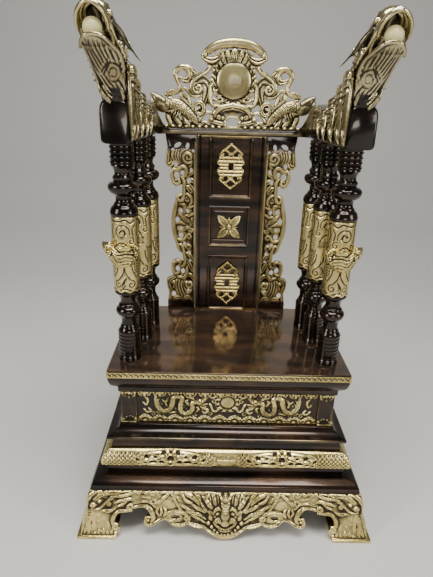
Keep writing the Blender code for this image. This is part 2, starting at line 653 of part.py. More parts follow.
def build():
    clear_scene()
    brass = metal("polished_brass", (0.62, 0.52, 0.27), 0.28)
    dark = metal("smoked_brass", (0.055, 0.038, 0.026), 0.30)
    antique = metal("antique_brass", (0.40, 0.32, 0.16), 0.38)
    cream = metal("pearl_cream", (0.80, 0.76, 0.55), 0.25, 0.0)

    foot_frame(brass)
    tier("lower_moulding", LOWER_MOULDING_BASE, LOWER_MOULDING_HEIGHT,
         [(0.0310, 0.0), (0.0310, 0.08), (0.0295, 0.26), (0.0230, 0.40), (0.0150, 0.50), (0.0060, 0.54),
          (0.0060, 1.0)], dark)
    band = [(0.0125, 0.0, 0.0), (0.0125, 0.30, 0.0024), (0.0060, 0.72, 0.0024), (-0.0001, 1.0, 0.0)]
    add_object("fret_band", loft([tier_ring(o, FRET_BASE + FRET_HEIGHT * share, bead, 12)
                                  for o, share, bead in band]), brass)
    tier("upper_moulding", UPPER_MOULDING_BASE, UPPER_MOULDING_HEIGHT,
         [(-0.0022, 0.0), (-0.0022, 0.12), (-0.0045, 0.50), (0.0045, 0.53), (0.0045, 0.63),
          (-0.0070, 0.72), (-0.0145, 0.86), (-0.0160, 1.0)], dark)
    pedestal(dark)
    tier("seat_plate", SEAT_BASE, SEAT_THICKNESS,
         [(-0.0165, 0.0), (-0.0150, 0.22), (-0.0064, 0.38), (-0.0027, 0.62), (-0.0010, 0.70),
          (0.0, 0.76), (0.0, 0.96), (-0.0015, 1.0)], dark)

    for pair, place in (("front", FRONT_COLUMN), ("middle", MIDDLE_COLUMN), ("back", BACK_COLUMN)):
        for side, word in ((-1, "left"), (1, "right")):
            column(f"column_{pair}_{word}", place, side, dark, pair == "front")

    back_board(dark)
    bottom, middle, top = [(low + high) / 2 for low, high in panel_levels()]
    low_panel, _, high_panel = [high - low for low, high in panel_levels()]
    medallion("medallion_top", top + high_panel * 0.0278, PANEL_HALF_WIDTH * 0.7397,
              high_panel * 0.3935, brass)
    flower_plaque(middle, brass)
    medallion("medallion_bottom", bottom, PANEL_HALF_WIDTH * 0.7534, low_panel * 0.4227, brass)
    for side, word in ((-1, "left"), (1, "right")):
        wing("wing_" + word, side, antique)
    arm_rail(dark)
    for side in (-1, 1):
        dragon(side, brass, cream)
    crest(brass)


build()
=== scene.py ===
import bpy
import numpy as np
from math import cos, sin, pi, radians
from mathutils import Matrix, Vector


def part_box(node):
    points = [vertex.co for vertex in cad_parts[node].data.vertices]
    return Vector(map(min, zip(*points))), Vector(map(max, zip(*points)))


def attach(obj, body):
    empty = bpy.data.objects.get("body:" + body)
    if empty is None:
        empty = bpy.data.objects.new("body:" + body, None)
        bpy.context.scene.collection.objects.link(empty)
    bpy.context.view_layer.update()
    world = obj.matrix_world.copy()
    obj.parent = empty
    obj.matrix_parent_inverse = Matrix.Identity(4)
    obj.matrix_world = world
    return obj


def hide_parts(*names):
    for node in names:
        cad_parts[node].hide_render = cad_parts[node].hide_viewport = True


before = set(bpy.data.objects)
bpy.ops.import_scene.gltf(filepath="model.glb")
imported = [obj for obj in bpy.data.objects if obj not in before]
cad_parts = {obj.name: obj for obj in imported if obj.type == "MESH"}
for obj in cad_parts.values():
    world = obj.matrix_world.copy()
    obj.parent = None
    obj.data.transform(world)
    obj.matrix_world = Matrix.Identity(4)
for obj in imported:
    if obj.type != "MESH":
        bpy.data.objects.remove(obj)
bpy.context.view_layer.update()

# Foot frame
# One cast brass ring: four cabriole legs on flat pads and a pierced apron, a beast mask in front.
# The lost-wax carving is chased and polished on its ridges, and left dark in its hollows; painted shade
# darkens the bare ground between the carving further.

MM = 0.001
SEAT_HALF_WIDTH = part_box("seat_plate")[1][0] / MM
SEAT_HALF_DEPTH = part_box("seat_plate")[1][1] / MM
FOOT_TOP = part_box("foot_frame")[1][2] / MM - 2.5
PAD_HALF_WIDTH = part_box("foot_frame")[1][0] / MM
PAD_HALF_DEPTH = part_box("foot_frame")[1][1] / MM
PAD_SIDE = 67.5
PAD_THICKNESS = 5.0
FOOT_WALL = 8.0
SPECK_SHARE = 0.02


def flowing(path, pace=1.5):
    """Points along a smooth curve through a stem's places, about pace millimetres apart."""
    knots = np.array(path, float)
    knots = np.vstack([2 * knots[0] - knots[1], knots, 2 * knots[-1] - knots[-2]])
    line = []
    for a, b, c, d in zip(knots, knots[1:], knots[2:], knots[3:]):
        count = max(2, int(np.linalg.norm((c - b)[:-1]) / pace))
        for t in np.arange(count) / count:
            line.append(0.5 * (2 * b + (c - a) * t + (2 * a - 5 * b + 4 * c - d) * t ** 2
                               + (3 * b - a - 3 * c + d) * t ** 3))
    line = np.array(line + [knots[-2]])
    line[:, -1] = np.maximum(line[:, -1], 0.3)
    return line


def volute(centre, reach, eye, start, sweep, thick, thin=0.6):
    """A stem that winds into its eye: (across, up, half width) from the outer end inwards."""
    path = []
    for t in np.linspace(0, 1, max(6, int(abs(sweep) / 30))):
        away = reach + (eye - reach) * t
        angle = radians(start + sweep * t)
        path.append((centre[0] + away * cos(angle), centre[1] + away * sin(angle),
                     thick * (1 - (1 - thin) * t)))
    return path


class Relief:
    """A sheet of carving, in millimetres: a height over its bed, and a depth inside its outline."""

    scale = 3.0

    def __init__(self, across, up, bed=0.0, edge=-9.0):
        self.across, self.up = across, up
        self.bed = np.full((len(across), len(up)), float(bed))
        self.height = self.bed.copy()
        self.edge = np.full(self.bed.shape, float(edge))
        self.laid = np.full(self.bed.shape, -9.0)

    def window(self, places, reach):
        """The part of the sheet around some places, and how far its points are across and up."""
        part = []
        for axis, grid in enumerate((self.across, self.up)):
            low = np.searchsorted(grid, places[:, axis].min() - reach)
            high = np.searchsorted(grid, places[:, axis].max() + reach)
            part.append(slice(max(low - 1, 0), high + 1))
        return tuple(part), self.across[part[0], None], self.up[None, part[1]]

    def lay(self, part, height, edge):
        height = np.where(edge > 0, self.bed[part] + height, -99.0)
        self.height[part] = np.maximum(self.height[part], height)
        self.edge[part] = np.maximum(self.edge[part], edge)
        self.laid[part] = np.maximum(self.laid[part], edge)

    def nearest(self, path, straight, margin):
        """For the points around a path: how far away it is, its half width, and the way along it."""
        line = np.array(path, float) if straight else flowing(path)
        part, a, b = self.window(line, line[:, 2].max() + margin)
        run = np.diff(line, axis=0)
        length = np.hypot(run[:, 0], run[:, 1]) + 1e-6
        da, db = a[..., None] - line[:-1, 0], b[..., None] - line[:-1, 1]
        t = np.clip((da * run[:, 0] + db * run[:, 1]) / length ** 2, 0, 1)
        radius = line[:-1, 2] + t * run[:, 2]
        away = np.hypot(da - t * run[:, 0], db - t * run[:, 1])
        near = (away - radius).argmin(-1)[..., None]
        side = np.sign(da * run[:, 1] - db * run[:, 0])
        along = np.concatenate([[0], np.cumsum(length)[:-1]]) + t * length
        return [part] + [np.take_along_axis(v, near, -1)[..., 0] for v in (away, radius, side, along)]

    def engrave(self, path, depth=0.6, straight=False):
        """A cut line along a path of (across, up, half width)."""
        part, away, radius, _, _ = self.nearest(path, straight, 3)
        self.height[part] -= depth * np.exp(-(away / radius) ** 2)

    def stem(self, path, cut="round", lift=0.0, swell=1.0, straight=False):
        """A swelling strand of carving along a path of (across, up, half width)."""
        part, away, radius, side, along = self.nearest(path, straight, 3)
        u = side * away / radius
        crown = np.sqrt(np.clip(1 - u * u, 0, 1))
        if cut == "groove":
            crown = crown * (1 - 0.42 * np.exp(-(u / 0.26) ** 2))
        if cut == "veined":
            crown = crown * (0.80 + 0.20 * np.cos(5 * pi * u + 0.5))
        if cut == "hollow":
            crown = crown ** 0.5 * (0.40 + 0.60 * u * u)
        if cut == "rim":
            crown = np.clip(1.15 - 0.9 * u * u, 0, 1) * (1 - 0.5 * np.exp(-((u - 0.35) / 0.18) ** 2))
        if cut == "scaled":
            row = along / (0.62 * self.scale)
            column = u * radius / (0.5 * self.scale) + 0.5 * np.floor(row)
            bow = (column - np.floor(column) - 0.5) ** 2 * 2.2
            crown = crown * (0.80 + 0.26 * (1 - (row - np.floor(row) + bow) % 1.0))
        self.lay(part, lift + swell * radius * crown, radius - away)

    def boss(self, place, reach, rise, lift=0.0, turn=0.0, ring=0.0, onto_bed=False):
        """A domed knob, perhaps with a sunk ring around its eye."""
        reach = (reach, reach) if np.isscalar(reach) else reach
        part, a, b = self.window(np.array([place]), max(reach) + 3)
        c, s = cos(radians(turn)), sin(radians(turn))
        da, db = a - place[0], b - place[1]
        rho = np.hypot((da * c + db * s) / reach[0], (db * c - da * s) / reach[1])
        dome = rise * np.sqrt(np.clip(1 - rho ** 2, 0, 1))
        if ring:
            dome = dome * (1 - 0.5 * np.exp(-((rho - ring) / 0.13) ** 2))
        if onto_bed:
            self.bed[part] += dome
            self.height[part] = np.maximum(self.height[part], self.bed[part])
            return
        self.lay(part, lift + dome, (1 - rho) * min(reach))

    def sink(self, place, reach, turn=0.0, depth=None):
        """An oval hole right through, or a hollow of some depth."""
        part, a, b = self.window(np.array([place]), max(reach) + 3)
        c, s = cos(radians(turn)), sin(radians(turn))
        da, db = a - place[0], b - place[1]
        rho = np.hypot((da * c + db * s) / reach[0], (db * c - da * s) / reach[1])
        if depth is None:
            self.edge[part] = np.minimum(self.edge[part], (rho - 1) * min(reach))
        else:
            self.height[part] -= depth * np.clip(1 - rho ** 2, 0, 1) ** 0.6

    def shape(self, points):
        """Distance inside a closed outline, negative outside it."""
        loop = np.array(points, float)
        nxt = np.roll(loop, -1, axis=0)
        run = nxt - loop
        a, b = self.across[:, None], self.up[None, :]
        gap = np.full(self.bed.shape, 1e9)
        inside = np.zeros(self.bed.shape, bool)
        for (x0, z0), (x1, z1), (dx, dz) in zip(loop, nxt, run):
            t = np.clip(((a - x0) * dx + (b - z0) * dz) / (dx * dx + dz * dz + 1e-9), 0, 1)
            gap = np.minimum(gap, np.hypot(a - x0 - t * dx, b - z0 - t * dz))
            if z0 != z1:
                inside ^= ((b < z0) != (b < z1)) & (a < x0 + (b - z0) * dx / (z1 - z0))
        return np.where(inside, gap, -gap)

    def value(self, sheet, across, up):
        """What one of the sheets says at some places."""
        i = np.clip(np.interp(across, self.across, np.arange(len(self.across))), 0, len(self.across) - 1.001)
        j = np.clip(np.interp(up, self.up, np.arange(len(self.up))), 0, len(self.up) - 1.001)
        a, b, i, j = i % 1, j % 1, i.astype(int), j.astype(int)
        return ((sheet[i, j] * (1 - b) + sheet[i, j + 1] * b) * (1 - a)
                + (sheet[i + 1, j] * (1 - b) + sheet[i + 1, j + 1] * b) * a)

    def both_sides(self):
        """Repeats the carving of each half on the other."""
        self.height = np.maximum(self.height, self.height[::-1])
        self.edge = np.maximum(self.edge, self.edge[::-1])
        self.laid = np.maximum(self.laid, self.laid[::-1])


def blurred(field, reach):
    """Averages over boxes of a few cells each way, twice along every axis."""
    for axis in (0, 1, 2, 0, 1, 2):
        turned = np.moveaxis(field, axis, 0)
        padded = np.concatenate([turned[:1]] * (reach + 1) + [turned] + [turned[-1:]] * reach)
        total = np.cumsum(padded, axis=0, dtype=np.float64)
        field = np.moveaxis((total[2 * reach + 1:] - total[:-2 * reach - 1]) / (2 * reach + 1), 0, axis)
    return field.astype(np.float32)


def sampled(field, places):
    """Values between the cells of a field, at places counted in cells."""
    limit = np.array(field.shape) - 1.001
    places = np.clip(places, 0, limit)
    base = places.astype(int)
    t = places - base
    value = 0
    for corner in range(8):
        step = np.array([corner & 1, corner >> 1 & 1, corner >> 2 & 1])
        weight = np.prod(np.where(step, t, 1 - t), axis=1)
        value = value + weight * field[tuple((base + step).T)]
    return value


def net(field):
    """Four-sided faces where a field changes sign, with one point in each cell that it crosses."""
    inside = field < 0
    count = np.zeros(np.array(field.shape) - 1, np.uint8)
    corners = [(i, j, k) for i in (0, 1) for j in (0, 1) for k in (0, 1)]
    n0, n1, n2 = count.shape
    for i, j, k in corners:
        count += inside[i:i + n0, j:j + n1, k:k + n2]
    active = (count > 0) & (count < 8)
    cells = np.argwhere(active)
    number = np.full(active.shape, -1, np.int64)
    number[active] = np.arange(len(cells))
    values = {c: field[tuple((cells + c).T)].astype(float) for c in corners}
    total, hits = np.zeros((len(cells), 3)), np.zeros(len(cells))
    for c in corners:
        for axis in range(3):
            if c[axis]:
                continue
            d = tuple(1 if k == axis else c[k] for k in range(3))
            crossed = (values[c] < 0) != (values[d] < 0)
            t = np.where(crossed, values[c] / np.where(crossed, values[c] - values[d], 1), 0)
            place = np.array(c, float) + t[:, None] * (np.array(d) - np.array(c))
            total += place * crossed[:, None]
            hits += crossed
    points = cells + total / hits[:, None]
    faces = []
    for axis in range(3):
        order = (axis, (axis + 1) % 3, (axis + 2) % 3)
        solid, index = np.transpose(inside, order), np.transpose(number, order)
        i, j, k = (np.argwhere(solid[:-1, 1:-1, 1:-1] != solid[1:, 1:-1, 1:-1]) + (0, 1, 1)).T
        quad = np.stack([index[i, j - 1, k - 1], index[i, j, k - 1], index[i, j, k],
                         index[i, j - 1, k]], 1)
        quad[~solid[i, j, k]] = quad[~solid[i, j, k]][:, ::-1]
        faces.append(quad)
    return points, np.concatenate(faces)


def without_specks(points, faces):
    """Leaves out the loose bits of a mesh that are far smaller than its main body."""
    label = np.arange(len(points))
    pairs = np.concatenate([faces[:, [0, 1]], faces[:, [1, 2]], faces[:, [2, 3]]])
    while True:
        low = np.minimum(label[pairs[:, 0]], label[pairs[:, 1]])
        fresh = label.copy()
        np.minimum.at(fresh, label[pairs[:, 0]], low)
        np.minimum.at(fresh, label[pairs[:, 1]], low)
        fresh = fresh[fresh]
        if (fresh == label).all():
            break
        label = fresh
    sizes = np.bincount(label, minlength=len(points))
    kept = sizes[label] >= SPECK_SHARE * sizes.max()
    faces = faces[kept[faces[:, 0]]]
    place = np.cumsum(kept) - 1
    return points[kept], place[faces]


def surface(name, points, faces):
    """A smooth-shaded object from points in metres and four-sided faces."""
    mesh = bpy.data.meshes.new(name)
    mesh.vertices.add(len(points))
    mesh.vertices.foreach_set("co", np.ascontiguousarray(points, np.float32).ravel())
    mesh.loops.add(faces.size)
    mesh.loops.foreach_set("vertex_index", np.ascontiguousarray(faces, np.int32).ravel())
    mesh.polygons.add(len(faces))
    mesh.polygons.foreach_set("loop_start", np.arange(0, faces.size, faces.shape[1], dtype=np.int32))
    mesh.update(calc_edges=True)
    mesh.validate()
    mesh.shade_smooth()
    piece = bpy.data.objects.new(name, mesh)
    bpy.context.scene.collection.objects.link(piece)
    return piece


def marked(piece, name, values):
    """Keeps one number for each point of a piece, which its finish reads."""
    layer = piece.data.attributes.get(name) or piece.data.attributes.new(name, "FLOAT", "POINT")
    layer.data.foreach_set("value", np.ascontiguousarray(values, np.float32))


def marks_of(piece, name):
    marks = np.empty(len(piece.data.vertices), np.float32)
    piece.data.attributes[name].data.foreach_get("value", marks)
    return marks


def spots(piece):
    """Where a piece's points are, in millimetres."""
    places = np.empty(len(piece.data.vertices) * 3, np.float32)
    piece.data.vertices.foreach_get("co", places)
    return places.reshape(-1, 3) / MM


def cast(name, field, low, step, triangles, dirt=2, bend=None, body=None):
    """A casting from its field of distances in millimetres, thinned to a number of triangles.

    Its hollows are marked from the same field, or from a body without the inner faces.
    """
    low, step = np.array(low, float), np.array(step, float)
    field = np.pad(field.astype(np.float32), 1, constant_values=5.0)
    points, faces = without_specks(*net(field))
    piece = surface(name, ((points - 1) * step + low) * MM, faces)
    if 2 * len(faces) > triangles:
        thin = piece.modifiers.new("thinned", "DECIMATE")
        thin.ratio = triangles / (2 * len(faces))
        thinned = bpy.data.meshes.new_from_object(
            piece.evaluated_get(bpy.context.evaluated_depsgraph_get()))
        piece.modifiers.clear()
        piece.data = thinned
        thinned.shade_smooth()
    body = field if body is None else np.pad(body.astype(np.float32), 1, mode="edge")
    filled = blurred(np.clip(0.5 - body / (2 * step.min()), 0, 1), dirt)
    marked(piece, "hollow", sampled(filled, (spots(piece) - low) / step + 1))
    if bend:
        bent = np.stack(bend(*spots(piece).T), 1) * MM
        piece.data.vertices.foreach_set("co", np.ascontiguousarray(bent, np.float32).ravel())
        piece.data.update()
    return piece


def tier_field(x, y, overhang, front, back, side):
    """Distance outside a tier: the seat's plan grown by an overhang, carved on its four faces."""
    ahead = y[None, :, None] < 0
    long_face = np.where(ahead, front.height[:, None, :], back.height[:, None, :])
    field = np.maximum(np.abs(y)[None, :, None] - SEAT_HALF_DEPTH - overhang - long_face,
                       np.abs(x)[:, None, None] - SEAT_HALF_WIDTH - overhang - side.height[None])
    gaps = np.where(ahead, front.edge[:, None, :], back.edge[:, None, :])
    return np.maximum(field, -np.minimum(gaps, side.edge[None]))


def laid_on(piece, front, back, side):
    """How far inside the laid carving each point of a tier lies; below zero it is bare ground."""
    x, y, z = spots(piece).T
    on_side = np.abs(x) - SEAT_HALF_WIDTH > np.abs(y) - SEAT_HALF_DEPTH
    long_face = np.where(y < 0, front.value(front.laid, x, z), back.value(back.laid, x, z))
    return np.where(on_side, side.value(side.laid, y, z), long_face)


def even(reach, step):
    """A row of places on both sides of zero."""
    count = int(np.ceil(reach / step))
    return np.arange(-count, count + 1) * step


SKIRT_HEIGHTS = (0, 5, 22, 45, 70, 86)
SKIRT_OVERHANGS = (52.5, 52.0, 46.5, 42.5, 37.5, 33.5)
SKIRT_HALF_DEPTH = 191.6
LEG_SHIFT = PAD_HALF_WIDTH - PAD_HALF_DEPTH
ARCH = [(156.7, 55.6, 2.2), (149.4, 58.6, 2.7), (140.9, 59.5, 2.9), (133.5, 57.3, 3.7),
        (127.4, 50.8, 4.2), (124.4, 42.8, 4.2), (124, 34.7, 3.4), (127.5, 29.2, 1.7)]
HOOK = [(129.3, 37.3, 1.5), (135.4, 37.9, 1.9), (138.2, 31.7, 2.2), (136.7, 25.6, 2.5),
        (130.6, 23, 2.7), (122.6, 25.8, 2.7), (115.2, 30.8, 2.5), (109.1, 34.3, 2.2), (102.3, 36.4, 2)]
LOWER_LID = [(102.3, 36.4, 2), (96.8, 32.4, 2.5), (89.4, 26.4, 3.2), (79.5, 23.9, 3.4),
             (69.7, 26.1, 3.2), (62.4, 31, 1.7)]
LEG_BAND = [(166.7, 49.8, 2.7), (176.5, 49.4, 3.2), (184.5, 47.6, 3.4), (190, 41.4, 3.7),
            (193.2, 33.2, 3.9), (193.4, 25.7, 3.2)]
CRESCENT = [(61.1, 27.9, 3.4), (52.4, 24.6, 3.9), (42.6, 22.7, 3.7), (36.4, 22.8, 3.5),
            (24.6, 16.9, 3.9), (12.2, 10.6, 4.4), (0, 7.2, 4.7)]
OPENING = [(12, 9), (25, 16), (36, 22), (44, 23), (52, 25), (61, 28), (70, 26), (79, 24), (89, 26.5),
           (97, 32.5), (103, 36.5), (115, 31), (123, 26), (131, 23), (137, 26), (138, 31.7), (135, 38),
           (129, 37), (126, 32), (124, 36), (124.4, 43), (127.4, 51), (133.5, 57), (141, 59.5), (149, 58.6),
           (156, 56), (163, 54), (167, 50), (176, 49), (184, 47), (190, 41), (193, 33), (193, 25), (188, 18),
           (PAD_HALF_WIDTH - PAD_SIDE, 10), (PAD_HALF_WIDTH - PAD_SIDE, -20)]


def leg_carving(sheet, shift, rich=True):
    """A dragon's head with its mane on the leg's knee, a tail of feathers, and clouds at the foot."""
    def stems(cut, lift, swell, *paths):
        for path in paths:
            sheet.stem([(x - shift, z, r) for x, z, r in path], cut, lift, swell)
    stems("rim", 0.4, 1.0, ARCH, HOOK, LEG_BAND)
    sheet.boss((133 - shift, 31.8), 2.6, 2.6, 0.5)
    sheet.stem(volute((162.8 - shift, 56.8), 6.2, 1.5, 250, 470, 2.3), "round", 1.2)
    sheet.stem(volute((188.5 - shift, 18.1), 5.6, 1.4, 120, -450, 2.4), "round", 0.4)
    stems("round", 0.0, 1.0, [(182.8, 17.6, 1.5), (184.1, 11.6, 2), (189, 7.9, 2)])
    if not rich:
        return
    stems("veined", -0.8, 1.05,
          [(228.4, 46.8, 1.2), (232.3, 38, 3.9), (235.6, 27, 5.0), (238.8, 16.8, 4.1), (243, 7, 1.7)],
          [(226.6, 43.5, 1.2), (226.9, 32.6, 2.7), (225.9, 21.8, 3.1), (227.1, 13.9, 1)],
          [(235.7, 44.7, 1), (240.2, 32.4, 2.8), (244.7, 19.1, 3.0), (248.3, 9.4, 1.6)],
          [(231.5, 21.7, 1.2), (233.8, 14.4, 2.2), (236.2, 5.9, 1.2)])
    stems("round", -1.0, 1.1, [(225.5, 39.4, 1), (224.4, 32.7, 2), (220.9, 29.3, 1.7), (215.3, 30.8, 0.7)],
          [(209.7, 35.6, 1.2), (205.5, 30.3, 2), (201.4, 23.5, 1.7), (201.4, 17.3, 1)])
    stems("groove", 1.2, 1.1,
          [(229.5, 52.7, 1.2), (224, 50.8, 1.7), (216.7, 52.9, 1.9), (210.5, 58.3, 1.9),
           (204.9, 64.3, 2.0), (198.2, 70.3, 2.3), (192.7, 71.1, 1.2)])
    stems("veined", 0.6, 1.1,
          [(224.9, 69.9, 1), (218.8, 76.3, 2.1), (210.2, 82.7, 2.6), (195.7, 85.6, 2.2), (181.2, 84.4, 1)],
          [(221.3, 68.6, 1), (210.3, 77, 2.1), (200.6, 79.7, 2.1), (186, 80.6, 1.8), (177.5, 84.5, 0.7)],
          [(195.7, 74.1, 1.5), (183.6, 76.2, 2.6), (169, 78.4, 3.0), (153.9, 84.3, 0.6)],
          [(189.8, 62.6, 1), (178.8, 68.1, 3.0), (169, 70.8, 3.4), (160.5, 71, 2.2), (152.6, 67.2, 0.6)],
          [(185, 56.8, 1), (176.4, 61.5, 2.4), (169.1, 66.9, 1.5)],
          [(178.7, 82, 1), (173.9, 85.0, 2.2), (164.1, 86.5, 1.2)],
          [(232.1, 69, 1.2), (229.4, 76.4, 2.4), (220.9, 82.8, 2.4), (212.6, 85.1, 1)],
          [(188.7, 53.4, 1), (197.2, 49.3, 2.9), (205.8, 49.2, 2.6), (213.1, 49.7, 1)],
          [(236.5, 60, 1), (236, 68, 2.6), (232, 77, 2.4), (224, 84, 1.2)])
    sheet.boss((219.4 - shift, 39.8), 4.4, 3.4, -1.2, ring=0.62)
    sheet.boss((226.9 - shift, 59.3), (5.4, 4.4), 4.2, 0.4, ring=0.5)
    sheet.boss((199.5 - shift, 62.5), 4.4, 3.6, 1.2, ring=0.6)
    sheet.boss((215.5 - shift, 66.4), 3.2, 3.0, 1.4, ring=0.62)
    sheet.boss((212.4 - shift, 25.4), 2.2, 2.2, -0.6)
    for x, z, reach in ((195.8, 10.2, (2.4, 4.2)), (202.5, 9.8, (2.6, 4.4)), (210.5, 12.0, (3.8, 5.6)),
                        (218.5, 10.6, (3.2, 4.6)), (226.0, 7.9, (4.2, 2.6))):
        sheet.boss((x - shift, z), reach, 2.8, -1.2)


def apron_carving(sheet):
    """The lids of the eye-shaped piercings, the claws beside them, and clouds along the top."""
    sheet.stem(LOWER_LID, "rim", 0.4)
    sheet.stem(CRESCENT, "rim", 0.4)
    sheet.stem([(105.4, 40.5, 1.2), (99.3, 46, 2.6), (90.8, 49.4, 3.1), (82.2, 50.3, 3.1),
                (73.6, 47.8, 3.1), (66.2, 43.9, 2)], "rim", 0.4)
    sheet.stem([(99.3, 39.2, 1.2), (93.2, 43.4, 1.9), (84.6, 44.9, 1.9), (77.2, 42.3, 1.5)], "round", -0.4)
    sheet.stem(volute((65.9, 37.1), 5.3, 1.3, 200, -470, 2.1), "round", 1.2)
    for path in ([(115.8, 54.3, 1.4), (117.7, 49, 2.4), (114.6, 43, 1.5)],
                 [(111, 55, 1.7), (109.1, 48.5, 2.6), (111.5, 41.7, 1.4)],
                 [(104.9, 55.8, 1.5), (102.4, 50.6, 2.4), (104.8, 43.9, 1.4)]):
        sheet.stem(path, "round", 0.4, 1.2)
    for path in ([(114.7, 64.2, 1.7), (108, 72.1, 2.6), (100.8, 78.5, 2.9), (96.6, 83, 1.5)],
                 [(95.9, 74.8, 1.5), (88.5, 73.1, 2.4), (83.6, 64.7, 2.2), (77.4, 54.3, 1.9),
                  (72.4, 49.1, 1)],
                 [(130.5, 65.9, 1.4), (125, 62.7, 2.1), (120.7, 56.9, 1.7)],
                 [(150.6, 75.2, 1), (144.5, 76.5, 1.9), (137.2, 74.8, 1.7), (129.9, 73, 1)],
                 [(94.8, 83.7, 1), (89.8, 78.7, 1.9), (82.5, 75.1, 1.9), (78.8, 68.8, 1)],
                 [(110.5, 86.2, 0.7), (108.1, 83.4, 1.9), (102.1, 84.3, 1.2)],
                 [(118.5, 84.5, 0.7), (114.8, 78.9, 1.9), (111.7, 75.8, 0.7)],
                 [(129, 68, 1), (122, 71, 1.8), (116, 68, 1.6), (118, 62, 1)],
                 [(160, 62, 1), (152, 64.5, 1.8), (142, 67, 1.8), (133, 66, 1)]):
        sheet.stem(path, "groove", 0.0, 1.2)
    sheet.stem([(100.1, 69.7, 1.5), (98.2, 63.2, 1.7), (94.5, 58, 1.7), (87.8, 61, 1.2)], "round", -1.5)
    for x, z, reach in ((148.8, 82.1, 3.6), (136.7, 82.6, 3.6), (124.5, 81.5, 4.8), (85, 81.3, 3.2),
                        (119.5, 64.8, 2.9)):
        sheet.boss((x, z), reach, 3.2, 0.0, ring=0.6)


def mask_carving(sheet):
    """The beast mask: a broad snout, fangs over a row of pearls, leaf ears and a flaming mane."""
    sheet.boss((0, 44), (42, 46), 6.5, onto_bed=True)
    for path in ([(57.9, 63.5, 0.7), (53, 60.3, 2.9), (45.6, 56.4, 3.6), (37, 54, 2.9), (31.4, 51.4, 1)],
                 [(60.1, 42.9, 0.6), (52.7, 41.7, 2.7), (44.1, 37.7, 3.4), (35.4, 33.8, 2.2), (30, 31, 0.7)],
                 [(68.8, 50.8, 0.7), (58.9, 47.6, 2.4), (46.6, 45.8, 3.1), (33.3, 40.6, 2)],
                 [(75.3, 84.5, 1), (71.5, 75.5, 2.4), (65.3, 68.6, 2.9), (58, 64.8, 1.5)],
                 [(70.5, 83.9, 0.6), (65.6, 80.9, 3.1), (55.7, 77, 4.3), (48.9, 70.8, 3.9),
                  (44.5, 61.7, 1.2)],
                 [(54.7, 85.6, 0.6), (49.7, 81.2, 3.1), (44.8, 76, 2.9), (42.8, 69.7, 1.2)],
                 [(77.5, 62.5, 1.7), (70.1, 58.7, 2.9), (62.7, 53.5, 2.6), (54.1, 51, 1.2)],
                 [(43, 68.3, 0.7), (38.8, 61.8, 2.6), (32.8, 56.6, 3.1), (27.9, 54.1, 1.2)]):
        sheet.stem(path, "veined", 0.4, 1.25)
    for path in ([(41, 78.5, 0.5), (34.4, 74.8, 3.1), (28.2, 68.6, 4.6), (23.2, 62.7, 3.1), (20.6, 57.5, 1)],
                 [(22.5, 84.6, 0.5), (19.9, 77.6, 2.0), (16, 67.5, 2.2), (13.3, 59.6, 1)],
                 [(11.5, 84.9, 0.6), (7.7, 80.5, 2.7), (6.4, 74, 1.9), (8, 67.6, 0.7)],
                 [(32.8, 84.6, 0.5), (30.3, 80.6, 2.6), (32, 76.1, 1.9), (35.6, 73.5, 0.7)]):
        sheet.stem(path, "groove", 0.6, 1.3)
    for x in (11.5, 15.5, 19.5, 24, 28.5):
        sheet.stem([(x * 1.25, 85, 0.6), (x * 1.1, 78, 1.7), (x, 68, 1.9), (x * 0.9, 60, 1.0)], "round", 0.4,
                   1.2)
    sheet.boss((0, 60), (16, 22), 4.0, 0.0)
    sheet.stem([(0, 34, 4.0), (0, 45.4, 9.0), (0, 54.6, 8.6), (0, 66.5, 9.0), (0, 74.2, 8.4), (0, 81.0, 5)],
               "round", 1.6, 0.62)
    sheet.boss((0, 78.5), (8.5, 5.5), 4.6, 2.6, ring=0.6)
    for z, reach in ((72, 6.5), (67.4, 6.0), (63, 5.2), (58.8, 4.4)):
        sheet.stem([(-reach, z + 2.2, 0.8), (0, z - 1, 1.5), (reach, z + 2.2, 0.8)], "round", 6.9, 1.3)
    sheet.stem([(21, 51.5, 1), (17, 60.4, 2.6), (11.5, 63.6, 2.8), (7, 60, 2.0), (5.4, 55.6, 1)],
               "groove", 2.6, 1.5)
    sheet.boss((13.2, 54.6), (4.6, 3.8), 4.4, 2.0, -18, ring=0.62)
    sheet.boss((0, 38.5), (9.0, 8.2), 7.4, 1.6)
    sheet.boss((11.6, 41.8), (7.6, 6.8), 7.0, 1.6, 20)
    sheet.boss((17.6, 48.6), (4.0, 5.0), 4.0, 1.0, 20)
    sheet.engrave([(13.6, 40.2, 1.0), (11.0, 36.9, 1.5), (7.6, 36.4, 0.9)], 4.5)
    sheet.stem([(19.6, 46, 1.4), (19.0, 38.2, 2.2), (16.4, 32.1, 2.3), (11.4, 27.4, 2.1), (5.1, 24.1, 1.9),
                (0, 22.8, 1.9)], "round", 0.8, 1.2)
    sheet.stem([(12.9, 25.3, 1), (10, 20.6, 1.6), (4.8, 18.8, 1.6), (0, 18.5, 1.6)], "round", 0.4, 1.1)
    sheet.boss((6.4, 22.4), (1.4, 2.8), 2.4, 1.0, 12)
    sheet.boss((2.4, 21.6), (1.1, 1.8), 1.8, 0.8)
    sheet.stem([(27.2, 59, 1.5), (24.6, 53.5, 4.0), (19.9, 47.6, 3.8), (15.9, 41, 1.5)], "hollow", 1.2, 1.4)
    sheet.boss((24.0, 46.5), (4.6, 6.4), 5.0, 1.6, 15, ring=0.6)
    for x, z, reach in ((28.6, 34.4, 3.8), (22.6, 27.2, 3.5), (18.2, 20.9, 2.6), (12.6, 16.6, 2.4),
                        (5.6, 13.8, 2.1), (0, 13.0, 2.0)):
        sheet.boss((x, z), reach, reach * 1.2, 0.8)


